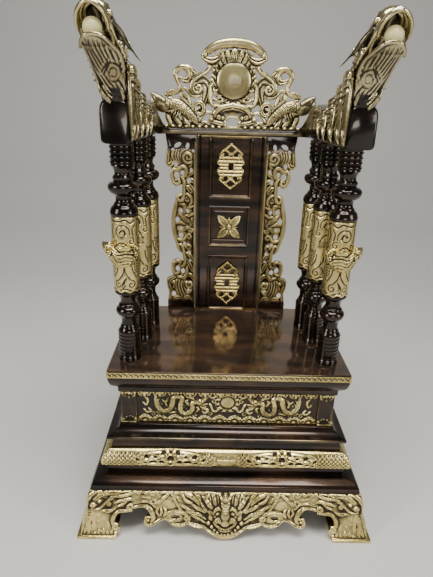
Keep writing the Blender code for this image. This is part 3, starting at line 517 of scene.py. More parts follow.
skirt_step = (1.2, 2.2, 1.2)
skirt_x, skirt_y = even(PAD_HALF_WIDTH, skirt_step[0]), even(SKIRT_HALF_DEPTH, skirt_step[1])
skirt_z = np.arange(0, FOOT_TOP + 0.1, skirt_step[2])
skirt_flare = np.interp(skirt_z, SKIRT_HEIGHTS, SKIRT_OVERHANGS)
front_skirt = Relief(skirt_x, skirt_z, bed=-2.8)
whole_opening = OPENING + [(-x, z) for x, z in reversed(OPENING)]
front_skirt.edge = -front_skirt.shape(whole_opening)
mask_carving(front_skirt)
leg_carving(front_skirt, 0)
apron_carving(front_skirt)
front_skirt.both_sides()
for side in (-1, 1):
    front_skirt.sink((side * 85.8, 37.4), (7.4, 3.3), -8 * side)

back_skirt = Relief(skirt_x, skirt_z, bed=-1.4)
back_skirt.edge = -back_skirt.shape(whole_opening)
leg_carving(back_skirt, 0, rich=False)
for border in (LOWER_LID, CRESCENT):
    back_skirt.stem(border, "rim", 0.4)
back_skirt.boss((0, 50), (38, 32), 6.0, -1.0)
for turn_out in (0, 1, 2):
    back_skirt.stem([(40 + 22 * turn_out, 44 + 4 * turn_out, 1.5), (52 + 24 * turn_out, 60, 4.5),
                     (46 + 26 * turn_out, 74, 2)], "veined", -0.6)
back_skirt.both_sides()

side_skirt = Relief(skirt_y, skirt_z, bed=-2.4)
side_opening = [(0, 12), (18, 14), (34, 22), (46, 30), (56, 27)] + [
    (x - LEG_SHIFT, z) for x, z in OPENING if x > 123 and z < 70][1:]
side_skirt.edge = -side_skirt.shape(side_opening + [(-x, z) for x, z in reversed(side_opening)])
leg_carving(side_skirt, LEG_SHIFT)
side_skirt.stem([(66, 25, 2.6), (56, 28, 2.7), (46, 31, 2.5), (34, 23, 3.2), (18, 15, 3.4), (0, 13, 3.6)],
                "rim", 0.4)
for turn_out in (0, 1):
    side_skirt.stem([(4 + 30 * turn_out, 34 + 6 * turn_out, 1.5), (20 + 22 * turn_out, 42, 4.5),
                     (22 + 24 * turn_out, 62, 4.0), (10 + 30 * turn_out, 76, 1.5)], "veined", 0.2)
side_skirt.boss((0, 54), (13, 16), 5.0, -1.0, ring=0.6)
side_skirt.both_sides()

x3, y3, z3 = skirt_x[:, None, None], skirt_y[None, :, None], skirt_z[None, None, :]
skirt_field = tier_field(skirt_x, skirt_y, skirt_flare, front_skirt, back_skirt, side_skirt)
inner = np.maximum(np.abs(y3) - SEAT_HALF_DEPTH - skirt_flare + FOOT_WALL,
                   np.abs(x3) - SEAT_HALF_WIDTH - skirt_flare + FOOT_WALL)
skirt_field = np.maximum(skirt_field, -inner)
pads = np.maximum(np.abs(np.abs(x3) - PAD_HALF_WIDTH + PAD_SIDE / 2) - PAD_SIDE / 2,
                  np.abs(np.abs(y3) - PAD_HALF_DEPTH + PAD_SIDE / 2) - PAD_SIDE / 2)
pads = np.maximum(pads, z3 - PAD_THICKNESS)
skirt_field = np.minimum(np.maximum(skirt_field, 0.6 * (PAD_THICKNESS - 1 - z3)), pads)
skirt_field = np.maximum(skirt_field, np.abs(y3) - SKIRT_HALF_DEPTH)
skirt_field = np.maximum(skirt_field, 0.02 - z3)
foot_frame = cast("foot_frame_casting", skirt_field, (skirt_x[0], skirt_y[0], 0), skirt_step, 142000)
# Painted shade: the bare ground between the laid carving, above the pads, is marked deeper in hollow so that
# it darkens.
shaded_ground = np.clip(0.7 - laid_on(foot_frame, front_skirt, back_skirt, side_skirt), 0,
               1) * (spots(foot_frame)[:, 2] > 7)
marked(foot_frame, "hollow", marks_of(foot_frame, "hollow") + 0.10 * shaded_ground)


class Wire:
    """A socket among the nodes of a finish, on which sums are written as expressions."""

    def __init__(self, tree, socket=None):
        self.tree, self.socket = tree, socket

    def plug(self, target, value):
        if isinstance(value, Wire):
            self.tree.links.new(value.socket, target)
        else:
            target.default_value = value

    def node(self, kind, settings=None, values=None, output=0):
        """A node of some kind: first its settings, then the values or links of its sockets."""
        made = self.tree.nodes.new(kind)
        for name, value in (settings or {}).items():
            setattr(made, name, value)
        for name, value in (values or {}).items():
            self.plug(made.inputs[name], value)
        return Wire(self.tree, made.outputs[output])

    def reckon(self, operation, first, second):
        return self.node("ShaderNodeMath", {"operation": operation}, {0: first, 1: second})

    def __add__(self, other):
        return self.reckon("ADD", self, other)

    def __sub__(self, other):
        return self.reckon("SUBTRACT", self, other)

    def __rsub__(self, other):
        return self.reckon("SUBTRACT", other, self)

    def __mul__(self, other):
        return self.reckon("MULTIPLY", self, other)

    __radd__, __rmul__ = __add__, __mul__

    def held(self):
        """The value kept between 0 and 1."""
        return self.node("ShaderNodeClamp", None, {"Value": self})

    def blend(self, first, second):
        """One colour turning into another as this value goes from 0 to 1."""
        ends = {0: self, 6: (*first, 1) if isinstance(first, tuple) else first,
                7: (*second, 1) if isinstance(second, tuple) else second}
        return self.node("ShaderNodeMix", {"data_type": "RGBA"}, ends, output=2)


BRIGHT_BRASS = (0.84, 0.70, 0.29)
DULL_BRASS = (0.42, 0.325, 0.11)
CAST_GRIME = (0.024, 0.016, 0.006)
SMOKE_BLACK = (0.014, 0.010, 0.008)
SMOKE_BROWN = (0.080, 0.042, 0.023)
GRIME_EDGE = 14.5
SMOKE_SHEEN = 0.80


def metal_finish(name, brass_cover="all", bright=BRIGHT_BRASS, dull=DULL_BRASS, grime_start=0.475,
                 polish=0.20, wear=0.0, black=SMOKE_BLACK, brown=SMOKE_BROWN, gloss=0.15):
    """Polished brass, smoked brass, or both by a piece's mark of where the gilding lies; on the arm rail
    that mark paints highlights in brass, and in the dragons' mouths painted shade lowers it.
    """
    finish = bpy.data.materials.new(name)
    finish.use_nodes = True
    shader = finish.node_tree.nodes["Principled BSDF"]
    wire = Wire(finish.node_tree)
    place = wire.node("ShaderNodeTexCoord", output=3)

    def noise(scale, detail, distortion=0.0):
        return wire.node("ShaderNodeTexNoise", None,
                         {"Vector": place, "Scale": scale, "Detail": detail, "Distortion": distortion})
    cloud, grain = noise(24.0, 4.0, 0.4), noise(420.0, 3.0)
    hollow = wire.node("ShaderNodeAttribute", {"attribute_name": "hollow"}, output=2)
    grime = ((hollow - grime_start) * GRIME_EDGE + (cloud - 0.5) * 0.7).held()
    tarnish = ((cloud - 0.42) * 3.2 + (grain - 0.5) * 1.1).held()
    brass = grime.blend(tarnish.blend(bright, dull), CAST_GRIME)
    brass_rough = polish + grime * 0.34 + tarnish * 0.10 + (grain - 0.5) * 0.10
    streak = wire.node("ShaderNodeMapping", None, {"Vector": place, "Scale": (7.0, 30.0, 60.0)})
    drift = wire.node("ShaderNodeTexNoise", None,
                      {"Vector": streak, "Scale": 1.0, "Detail": 5.0, "Distortion": 0.6})
    warm = ((drift - 0.40) * 2.6 + (cloud - 0.5) * 1.2).held()
    smoke = warm.blend(black, brown)
    smoke_rough = gloss + drift * gloss + (grain - 0.5) * 0.05
    if brass_cover == "all":
        colour, rough, metallic = brass, brass_rough, 1.0 - grime * 0.45
    else:
        if wear:
            rubbed = ((0.47 - hollow) * wear + (cloud - 0.6) * 0.7).held()
            smoke = rubbed.blend(smoke, dull)
        colour, rough, metallic = smoke, smoke_rough, SMOKE_SHEEN
        if brass_cover == "marked":
            gilt_and_painted_light = wire.node("ShaderNodeAttribute", {"attribute_name": "gilt_and_painted_light"}, output=2).held()
            colour = gilt_and_painted_light.blend(smoke, brass)
            rough = smoke_rough + (brass_rough - smoke_rough) * gilt_and_painted_light
            metallic = SMOKE_SHEEN + gilt_and_painted_light * 0.15
    wire.plug(shader.inputs["Base Color"], colour)
    wire.plug(shader.inputs["Roughness"], rough)
    wire.plug(shader.inputs["Metallic"], metallic)
    shader.inputs["Coat Weight"].default_value = 0.15 if brass_cover == "all" else 0.45
    shader.inputs["Coat Roughness"].default_value = 0.08
    relief = grain * 0.5 + cloud
    bump = wire.node("ShaderNodeBump", None, {"Height": relief, "Strength": 0.25, "Distance": 0.0006})
    wire.plug(shader.inputs["Normal"], bump)
    return finish


def finished(piece, finish, slot, *nodes):
    """Gives a piece its finish, and puts it in the place of the frame's own solids."""
    piece.data.materials.clear()
    piece.data.materials.append(finish)
    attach(piece, "root")
    if nodes:
        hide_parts(*nodes)


chased_brass = metal_finish("chased_brass")
deep_chased_brass = metal_finish("deep_chased_brass", grime_start=0.448)
finished(foot_frame, deep_chased_brass, "polished_brass", "foot_frame")

# Lower moulding
# A smoked brass moulding that steps in from the foot frame to the band above it.
# It is filed and buffed, and its arrises are rubbed through to the brass.


def pits(profile):
    """How far each point of a profile lies in a hollow, about one half where it is flat."""
    reach = np.concatenate([[0], np.cumsum(np.hypot(*np.diff(profile, axis=0).T))])
    marks = []
    for place, (out, _) in zip(reach, profile):
        weight = np.exp(-((reach - place) / 3.5) ** 2) * np.gradient(reach)
        marks.append(0.5 + 0.09 * ((weight * profile[:, 0]).sum() / weight.sum() - out))
    return np.array(marks)


def lofted(name, rings, marks=None, sharp=38):
    """Skins rings of points given in millimetres, and closes both ends."""
    around = len(rings[0])
    points = [tuple(c * MM for c in spot) for ring in rings for spot in ring]
    faces = [tuple(range(around))[::-1]]
    for low in range(0, (len(rings) - 1) * around, around):
        faces += [(low + i, low + (i + 1) % around, low + around + (i + 1) % around, low + around + i)
                  for i in range(around)]
    faces.append(tuple(range(len(points) - around, len(points))))
    mesh = bpy.data.meshes.new(name)
    mesh.from_pydata(points, [], faces)
    mesh.shade_smooth()
    mesh.set_sharp_from_angle(angle=radians(sharp))
    piece = bpy.data.objects.new(name, mesh)
    bpy.context.scene.collection.objects.link(piece)
    marked(piece, "hollow", np.repeat(np.full(len(rings), 0.5) if marks is None else marks, around))
    return piece


CORNER_ROUND = 1.2


def plan_ring(overhang, z):
    """The seat's rectangle grown by an overhang, its corners rounded off."""
    ring = []
    grown = overhang - CORNER_ROUND
    for quarter, (sx, sy) in enumerate(((1, 1), (-1, 1), (-1, -1), (1, -1))):
        for k in range(4):
            angle = (quarter + k / 3) * pi / 2
            ring.append((sx * (SEAT_HALF_WIDTH + grown) + CORNER_ROUND * cos(angle),
                         sy * (SEAT_HALF_DEPTH + grown) + CORNER_ROUND * sin(angle), z))
    return ring


def moulding(name, profile):
    """A moulding from its profile of (overhang, height), bottom to top."""
    profile = np.array(profile, float)
    return lofted(name, [plan_ring(out, z) for out, z in profile], pits(profile))


def curve(*places):
    """A smooth run of a profile through its places."""
    return [tuple(p[:2]) for p in flowing([(*p, 1) for p in places])]


buffed_smoke = metal_finish("buffed_smoked_brass", brass_cover="none", wear=4.0)
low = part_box("lower_moulding")[0][2] / MM
lower_moulding = moulding("lower_moulding_casting", [
    (29.6, low), (31.0, low + 0.6), (31.0, low + 2.6),
    *curve((30.6, low + 3.2), (29.6, low + 9.0), (26.4, low + 13.0), (20.0, low + 16.2),
           (15.0, low + 18.2)), (12.0, low + 18.8), (6.8, low + 19.0),
    (6.0, low + 20.0), (6.0, low + 34.6), (5.2, low + 36.3)])
finished(lower_moulding, buffed_smoke, "smoked_brass", "lower_moulding")

# Fret band
# A half-round brass band about the base, cast with leaf-shaped piercings between fields of fret.
# Its carving is shallow chased line work, and the piercings are dark inside.

band_low, band_high = (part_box("fret_band")[k][2] / MM for k in (0, 1))
TRIM = 0.05
band_step = (1.0, 2.0, 1.0)
band_x, band_y = even(SEAT_HALF_WIDTH + 16, band_step[0]), even(SEAT_HALF_DEPTH + 16, band_step[1])
band_z = np.arange(band_low, band_high + 0.1, band_step[2])
band_bulge = np.interp((band_z - band_low) / (band_high - band_low),
                       (0, 0.05, 0.18, 0.36, 0.54, 0.72, 0.86, 0.95, 1.0),
                       (12.4, 13.4, 14.6, 14.9, 13.4, 10.2, 6.4, 2.8, 0.2))


def above_or_below(z, low, high):
    """How far heights lie outside those from low to high."""
    return np.abs(z - (low + high) / 2) - (high - low) / 2


def band_carving(sheet, groups):
    """Pierced leaf groups at some places, a lotus in the middle and fret between them."""
    middle = (band_low + band_high) / 2
    reach = sheet.across[-1]
    for lean in (-1, 1):
        for k in range(-60, 61):
            x = k * 7.4 + (3.7 if lean > 0 else 0)
            if abs(x) > reach - 6 or min(abs(x - g) for g in groups) < 61 or abs(x) < 24:
                continue
            for z in (-8.0, -1.0, 6.0):
                rise = 3.4 * lean
                sheet.engrave([(x - 3.2, middle + z - rise, 0.85), (x + 3.2, middle + z + rise, 0.85)],
                              1.6, straight=True)
    for g in groups:
        for s in (-1, 1):
            for path in ([(0, 12.5, 0.8), (20, 11.0, 0.8), (40, 9.5, 0.8), (53, 6.0, 0.8), (61, -1.5, 0.8),
                          (57, -8, 0.8), (49, -9.5, 0.8)],
                         [(6, 6.5, 0.7), (14, 4.0, 0.7), (24, 6.0, 0.7), (33, 7.5, 0.7)],
                         [(6, -3.5, 0.7), (12, -9.5, 0.7), (24, -9.5, 0.7), (38, -8.5, 0.7), (46, -3, 0.7),
                          (48, 3, 0.7)],
                         [(18, 2.5, 0.7), (26, 0.5, 0.7), (35, 0.5, 0.7)]):
                sheet.engrave([(g + s * x, middle + z, r + 0.15) for x, z, r in path], 1.2)
            for x, z, reach_x, reach_z, lean in (
                    (12.5, 8.4, 4.6, 3.0, -20), (41, 3.6, 4.8, 3.4, 20), (56, -1.5, 4.4, 2.8, 30),
                    (15.5, -5, 5.4, 3.6, 0), (29.5, -5.2, 7.6, 3.8, 0), (43, -6.4, 3.6, 2.2, 0),
                    (53, -7.4, 2.8, 1.7, 0), (26, 3.2, 3.6, 1.8, 15)):
                sheet.sink((g + s * x, middle + z), (reach_x, reach_z), s * lean, depth=7)
        for z, reach_x, reach_z in ((10.2, 3.4, 2.8), (0.8, 6.4, 5.2), (-8.6, 5.4, 2.6)):
            sheet.sink((g, middle + z), (reach_x, reach_z), depth=7)
    if 0 not in groups:
        for k in range(-3, 4):
            sheet.stem([(k * 2.2, middle - 8, 1.4), (k * 4.4, middle - 1, 2.4), (k * 5.4, middle + 7, 1)],
                       "hollow", 0.2, 0.5)


band_front = Relief(band_x, band_z, edge=9.0)
band_carving(band_front, (-95.5, 95.5))
band_side = Relief(band_y, band_z, edge=9.0)
band_carving(band_side, (0,))
band_field = tier_field(band_x, band_y, band_bulge, band_front, band_front, band_side)
core = np.maximum(np.abs(band_y)[None, :, None] - SEAT_HALF_DEPTH + 4,
                  np.abs(band_x)[:, None, None] - SEAT_HALF_WIDTH + 4)
band_field = np.maximum(band_field, -core)
band_field = np.maximum(band_field, above_or_below(band_z, band_low, band_high) + TRIM)
fret_band = cast("fret_band_casting", band_field, (band_x[0], band_y[0], band_low), band_step, 62000)
finished(fret_band, chased_brass, "polished_brass", "fret_band")

# Upper moulding
# Smoked brass: a neck over the fret band, then a projecting lip, then a hollow up to the pedestal.
# It is one casting, filed smooth and burnished.

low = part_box("upper_moulding")[0][2] / MM
upper_moulding = moulding("upper_moulding_casting", [
    (-3.2, low), (-2.2, low + 1.0), (-2.4, low + 5.0),
    *curve((-3.2, low + 8), (-4.4, low + 13), (-4.5, low + 18.6)), (3.2, low + 19.0), (4.5, low + 20.2),
    (4.5, low + 23.2), (3.4, low + 24.2),
    *curve((0.6, low + 24.6), (-4.6, low + 26.4), (-9.8, low + 29.4), (-13.4, low + 33.2),
           (-14.8, low + 36.6)),
    (-16.0, low + 37.7)])
finished(upper_moulding, buffed_smoke, "smoked_brass", "upper_moulding")

# Pedestal box
# A cast waist, smoked dark: corner posts flush with the lip, and a recessed panel between them.
# Lace borders, a sun and two coiling dragons stand in low relief, rubbed back to the gold.

box_low, box_high = (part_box("pedestal_box")[k][2] / MM for k in (0, 1))
BOX_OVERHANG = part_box("pedestal_box")[1][0] / MM - SEAT_HALF_WIDTH - 0.8
PANEL_EDGE = 27.0
SUN_REACH = 12.0
SMALL_DRAGON = {
    "scaled": [[(123, 241, 1.4), (122, 232, 3.1), (118, 219, 4), (109, 212.5, 4.3), (99.3, 216.6, 4.2),
                (94.2, 227.7, 4.0), (92, 238, 4.0), (85, 241.7, 3.6), (78.5, 237, 3.6), (80.4, 224.6, 3.9),
                (79.7, 213, 4.1), (72, 208, 4.3), (63, 211.7, 4.2), (60, 220, 3.9), (60.2, 227.4, 3.7),
                (54.1, 230.8, 3.7), (48, 229.4, 3.7)]],
    "veined": [[(53.7, 226.9, 1.4), (46.6, 232.1, 4.0), (39.6, 236.1, 2.8), (35.4, 240.4, 1.1)],
               [(56, 233, 1), (62, 239, 2.2), (69, 240, 1.4)], [(54, 222, 1), (50, 216, 2.0), (53, 210, 1)]],
    "round": [[(49.4, 225.3, 1.6), (42.3, 226.2, 2.2), (35.6, 226.3, 1.2)],
              [(47, 222, 1.2), (42.3, 220.2, 1.6), (37.6, 221.3, 1.0)],
              [(43.6, 217, 1.1), (37.8, 217.2, 1.8), (33.5, 212.2, 1.9), (39.1, 208.6, 1.6),
               (42, 210.6, 1.1)],
              [(31, 226.7, 1.2), (27.3, 220.7, 1.6), (25.3, 214, 1.8), (19.5, 211.6, 1.4),
               (15.5, 216.7, 1.2)],
              [(120.8, 208.8, 1.0), (109.4, 206.2, 1.5), (97.9, 208.2, 1.4), (89.3, 209.1, 1.0)],
              [(106.2, 229.1, 1.1), (103.5, 222.5, 1.7), (99.8, 219.2, 1.4)],
              [(103, 232, 0.8), (107, 230, 1.3), (111, 233, 0.8)],
              [(72, 231.5, 1.1), (68.3, 226.6, 1.7), (63.6, 223.3, 1.7)],
              [(68, 234, 0.8), (72, 232, 1.3), (75, 236, 0.8)],
              [(140, 238, 0.8), (136, 231, 1.4), (139, 223, 1.5), (144, 228, 1.0)],
              [(135, 216, 0.8), (131, 210, 1.3), (138, 209, 1.4), (143, 214, 0.9)],
              [(33, 243, 0.7), (26, 239, 1.2), (20, 242, 0.8)]]}


def box_carving(sheet, dragon):
    """The posts, the two lace borders and, on the front, the sun between the dragons."""
    reach = sheet.across[-1]
    post = np.abs(sheet.across)[:, None] > reach - PANEL_EDGE
    sheet.bed[:] = np.where(post, 0.0, -5.0)
    sheet.height[:] = sheet.bed
    lobes = int(round(2 * (reach - 2) / 25))
    pitch = 2 * (reach - 2) / lobes
    for k in range(lobes):
        x = -reach + 2 + (k + 0.5) * pitch
        lift = 0.0 if abs(x) > reach - PANEL_EDGE else 1.0
        half = pitch / 2
        sheet.stem([(x - half, box_low + 1.5, 1.2), (x - half + 2, box_low + 8, 1.2),
                    (x, box_low + 14.5, 1.4),
                    (x + half - 2, box_low + 8, 1.2), (x + half, box_low + 1.5, 1.2)], "round", lift, 0.8)
        sheet.stem([(x - half + 4.4, box_low + 1.5, 1.2), (x, box_low + 9.4, 1.5),
                    (x + half - 4.4, box_low + 1.5, 1.2)],
                   "round", lift, 0.8)
        for lean in (-56, -28, 0, 28, 56):
            away = radians(lean)
            sheet.boss((x + 9.2 * sin(away), box_low + 2.5 + 9.0 * cos(away)), (2.5, 3.4), 2.6, lift + 0.4,
                       -lean)
        sheet.boss((x, box_low + 3.4), (4.4, 4.2), 2.2, lift + 0.4)
        sheet.boss((x - half, box_low + 5.5), (2.0, 3.4), 1.8, lift)
        for s in (-1, 1):
            sheet.stem([(x + s * 3, box_high - 11, 0.9), (x + s * 8.4, box_high - 8.5, 1.5),
                        (x + s * 11.5, box_high - 2, 1.6)], "round", lift, 0.8)
            sheet.boss((x + s * 4.8, box_high - 4.6), (2.5, 3.6), 2.2, lift + 0.4)
            sheet.boss((x + s * 10.4, box_high - 3.2), (2.2, 2.8), 2.0, lift + 0.4)
        sheet.stem([(x, box_high - 13.5, 1.2), (x, box_high - 8, 3.0), (x, box_high - 1.5, 2.4)], "round",
                   lift, 0.8)
    sheet.stem([(-reach + 1, box_low + 1.0, 1.2), (reach - 1, box_low + 1.0, 1.2)], "round", 0.6, 0.8,
               straight=True)
    for s in (-1, 1):
        sheet.stem([(s * (reach - PANEL_EDGE), box_low + 14, 0.9),
                    (s * (reach - PANEL_EDGE), box_high - 12, 0.9)],
                   "round", 0.8, 1.0, straight=True)
    if not dragon:
        for s in (-1, 1):
            sheet.stem([(s * 8, 218, 1.5), (s * 22, 228, 2.6), (s * 40, 224, 3.0), (s * 56, 232, 2.4),
                        (s * 72, 226, 1.4)], "veined", 0.0, 0.8)
            sheet.stem(volute((s * 34, 217), 6, 1.5, 90, s * 420, 1.8), "round", 0.0, 0.8)
        sheet.boss((0, 225), 8, 2.2, 0.0, ring=0.6)
        return
    sheet.boss((0, 230), SUN_REACH, 2.6, 0.6)
    for k in range(11):
        a = 2 * pi * (k + 0.5) / 11
        sheet.stem([(15.2 * cos(a), 229 + 14.6 * sin(a), 1.6),
                    (18 * cos(a + 0.16), 229 + 16.6 * sin(a + 0.16), 2.2),
                    (22 * cos(a - 0.05), 229 + 19.4 * sin(a - 0.05), 0.6)], "round", 0.4, 1.0)
    for cut, paths in SMALL_DRAGON.items():
        for path in paths:
            sheet.stem([(x, z, 0.5 + r * 1.2) for x, z, r in path], cut, 0.2, 1.15)
    for path in SMALL_DRAGON["scaled"]:
        line = flowing(path, 5.5)
        for (x0, z0, _), (x1, z1, r) in list(zip(line, line[1:]))[1:-1]:
            run = max(np.hypot(x1 - x0, z1 - z0), 0.1)
            across, up = (z1 - z0) / run * r, (x0 - x1) / run * r
            sheet.stem([(x1 + 1.1 * across, z1 + 1.1 * up, 1.5), (x1 + 1.9 * across + (x0 - x1) * 0.5,
                        z1 + 1.9 * up + (z0 - z1) * 0.5, 0.5)], "round", 1.2, 1.2)
    sheet.boss((45.5, 231.5), (7.5, 5.0), 4.2, 0.6, -12)
    sheet.boss((43.5, 233.5), 2.0, 3.0, 4.2, ring=0.5)
    for x, z, turn in ((30, 206, 60), (58, 204.5, 200), (72, 219, 30), (88, 218, 100), (100, 232, 0),
                       (112, 224, 180), (128, 204.5, 60), (24, 232, 90)):
        sheet.stem(volute((x, z), 4.4, 1.0, turn, 400, 1.3), "round", 0.0, 1.0)
    sheet.both_sides()


def gilded(piece, overhang, front, side):
    """Marks where the relief of a tier shows gold, and where its ground is smoked."""
    x, y, _ = spots(piece).T
    gold = laid_on(piece, front, front, side)
    outside = np.maximum(np.abs(y) - SEAT_HALF_DEPTH, np.abs(x) - SEAT_HALF_WIDTH) > overhang - 6.5
    marked(piece, "gilt_and_painted_light", np.clip(gold / 0.9 + 0.6, 0, 1) * outside)


box_step = (1.0, 2.0, 1.0)
box_x = even(SEAT_HALF_WIDTH + BOX_OVERHANG, box_step[0])
box_y = even(SEAT_HALF_DEPTH + BOX_OVERHANG, box_step[1])
box_z = np.arange(box_low, box_high + 0.1, box_step[2])
box_front, box_side = Relief(box_x, box_z, edge=9.0), Relief(box_y, box_z, edge=9.0)
box_carving(box_front, dragon=True)
box_carving(box_side, dragon=False)
box_field = tier_field(box_x, box_y, BOX_OVERHANG, box_front, box_front, box_side)
box_field = np.maximum(box_field, above_or_below(box_z, box_low, box_high) + TRIM)
pedestal_box = cast("pedestal_box_casting", box_field, (box_x[0], box_y[0], box_low), box_step, 80000)
gilded(pedestal_box, BOX_OVERHANG, box_front, box_side)
parcel_gilt = metal_finish("parcel_gilt_brass", brass_cover="marked", brown=(0.045, 0.025, 0.013),
                           grime_start=0.455)
finished(pedestal_box, parcel_gilt, "smoked_brass", "pedestal_box")

# Seat plate
# A thick smoked plate: an ovolo under it, a polished top that mirrors the back, a gold band round it.
# The band is a separate strip chased with running waves, and it is soldered into a rebate.

seat_low, seat_high = (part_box("seat_plate")[k][2] / MM for k in (0, 1))


def seat_at(share):
    return seat_low + share * (seat_high - seat_low)


seat_plate = moulding("seat_plate_casting", [
    (-16.5, seat_low), *curve((-15.4, seat_at(0.04)), (-15.0, seat_at(0.20)), (-11.8, seat_at(0.27)),
                              (-6.6, seat_at(0.37)), (-3.6, seat_at(0.50)), (-1.8, seat_at(0.64)),
                              (-1.6, seat_at(0.70))), (-1.6, seat_at(0.955)), (-1.2, seat_at(0.97)),
    (-0.9, seat_at(0.985)), (-1.6, seat_at(0.997)), (-3.0, seat_high)])
mirror_smoke = metal_finish("mirror_smoked_brass", brass_cover="none", wear=4.0, brown=(0.26, 0.145, 0.085),
                            black=(0.095, 0.068, 0.050), gloss=0.022)
finished(seat_plate, buffed_smoke, "smoked_brass", "seat_plate")
seat_plate.data.materials.append(mirror_smoke)
for face in seat_plate.data.polygons:
    face.material_index = int(face.normal.z > 0.9 and face.center.z > (seat_high - 1) * MM)

edge_step = (1.0, 2.4, 0.8)
edge_x, edge_y = even(SEAT_HALF_WIDTH, edge_step[0]), even(SEAT_HALF_DEPTH, edge_step[1])
edge_z = np.arange(seat_at(0.70), seat_at(0.97), edge_step[2])
edge_middle = seat_at(0.845)


def edge_carving(sheet):
    """A running wave between two plain fillets."""
    for fillet in (edge_z[0] + 1.2, edge_z[-1] - 1.2):
        sheet.engrave([(sheet.across[0], fillet, 0.8), (sheet.across[-1], fillet, 0.8)], 0.7, straight=True)
    for k in range(int(sheet.across[0] / 9), int(sheet.across[-1] / 9) + 1):
        x = k * 9.0
        sheet.engrave([(x - 4.2, edge_middle - 2.4, 0.8), (x - 1.5, edge_middle + 2.2, 0.9),
                       (x + 1.4, edge_middle + 0.4, 0.8), (x + 0.2, edge_middle - 1.2, 0.7)], 1.3)
        sheet.engrave([(x + 2.2, edge_middle + 2.4, 0.8), (x + 4.4, edge_middle - 1.8, 0.9)], 1.3)


edge_front, edge_side = Relief(edge_x, edge_z, edge=9.0), Relief(edge_y, edge_z, edge=9.0)
edge_carving(edge_front)
edge_carving(edge_side)
edge_round = np.interp(edge_z, (edge_z[0], edge_z[0] + 1.6, edge_z[-1] - 1.6, edge_z[-1]),
                       (-1.1, -0.1, -0.1, -1.1))
edge_field = tier_field(edge_x, edge_y, edge_round, edge_front, edge_front, edge_side)
inside = np.maximum(np.abs(edge_y)[None, :, None] - SEAT_HALF_DEPTH,
                    np.abs(edge_x)[:, None, None] - SEAT_HALF_WIDTH)
seat_band = cast("seat_edge_band", np.maximum(edge_field, -3.4 - inside), (edge_x[0], edge_y[0], edge_z[0]),
                 edge_step, 38000, dirt=1, body=edge_field)
finished(seat_band, chased_brass, "polished_brass")

# Columns
# Six columns turned in smoked brass: ribbed barrels at both ends, bulbs and rings between them.
# A gold sleeve, engraved with clouds and feathers, is shrunk on to the middle of each.

column_foot, column_head = (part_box("column_front_left")[k][2] / MM for k in (0, 1))
SLEEVE = (123.0, 245.0)
SLEEVE_RADIUS = 21.0
COLUMN_ACROSS = {"front": 0.8375, "middle": 0.785, "back": 0.755}
COLUMN_ALONG = {"front": -0.62828, "middle": -0.074344, "back": 0.38484}
LATHE_STEPS = 40


def ribs(low, high, radius, count):
    """A barrel ringed with narrow ribs."""
    run = []
    for k in range(count):
        z = low + (high - low) * (k + 0.5) / count
        half = (high - low) / count / 2
        run += [(radius - 0.9, z - half), (radius - 0.9, z - half * 0.55), (radius + 0.3, z - half * 0.35),
                (radius + 0.5, z), (radius + 0.3, z + half * 0.35), (radius - 0.9, z + half * 0.55)]
    return run


COLUMN_PROFILE = np.array([
    (18.4, 0), (18.6, 5), (17.6, 7), *ribs(8, 54, 17.9, 7), *curve((16.4, 55), (14.4, 58), (13.8, 61)),
    (13.0, 62), *curve((12.2, 64), (12.0, 69), (12.8, 75), (15.0, 79)), (15.6, 79.6),
    *curve((17.2, 81), (19.6, 85), (19.9, 90), (17.6, 94)), (15.6, 95.4), (15.4, 98), (14.4, 100),
    *curve((12.6, 101), (12.0, 105), (12.6, 110), (15.6, 116), (18.6, 119)), (20.0, 119.6), (20.6, 121),
    (20.6, 123), (19.0, 124), (19.0, 244), (20.6, 245), (21.6, 247), (21.6, 252), (20.6, 253.4), (20.2, 256),
    *curve((18.8, 258), (15.6, 261), (14.6, 264)), (13.0, 265),
    *curve((12.2, 267), (12.0, 271), (13.0, 275), (15.4, 277)), (16.2, 277.6),
    *curve((19.0, 279), (22.4, 284), (22.8, 290), (19.4, 294)), (15.0, 295.4), (14.0, 297), (15.2, 299.4),
    (15.4, 302), (13.4, 304.6), *curve((12.2, 306), (12.0, 309), (13.4, 314), (16.2, 318)), (17.2, 319),
    *ribs(320, 349, 17.7, 4), (17.6, 350), (17.6, column_head - column_foot)])


def turned(name, place):
    """A turned column from its profile of (radius, height above its foot)."""
    turns = [2 * pi * k / LATHE_STEPS for k in range(LATHE_STEPS)]
    rings = [[(place[0] + r * cos(turn), place[1] + r * sin(turn), column_foot + z) for turn in turns]
             for r, z in COLUMN_PROFILE]
    return lofted(name, rings, pits(COLUMN_PROFILE) - 0.03)


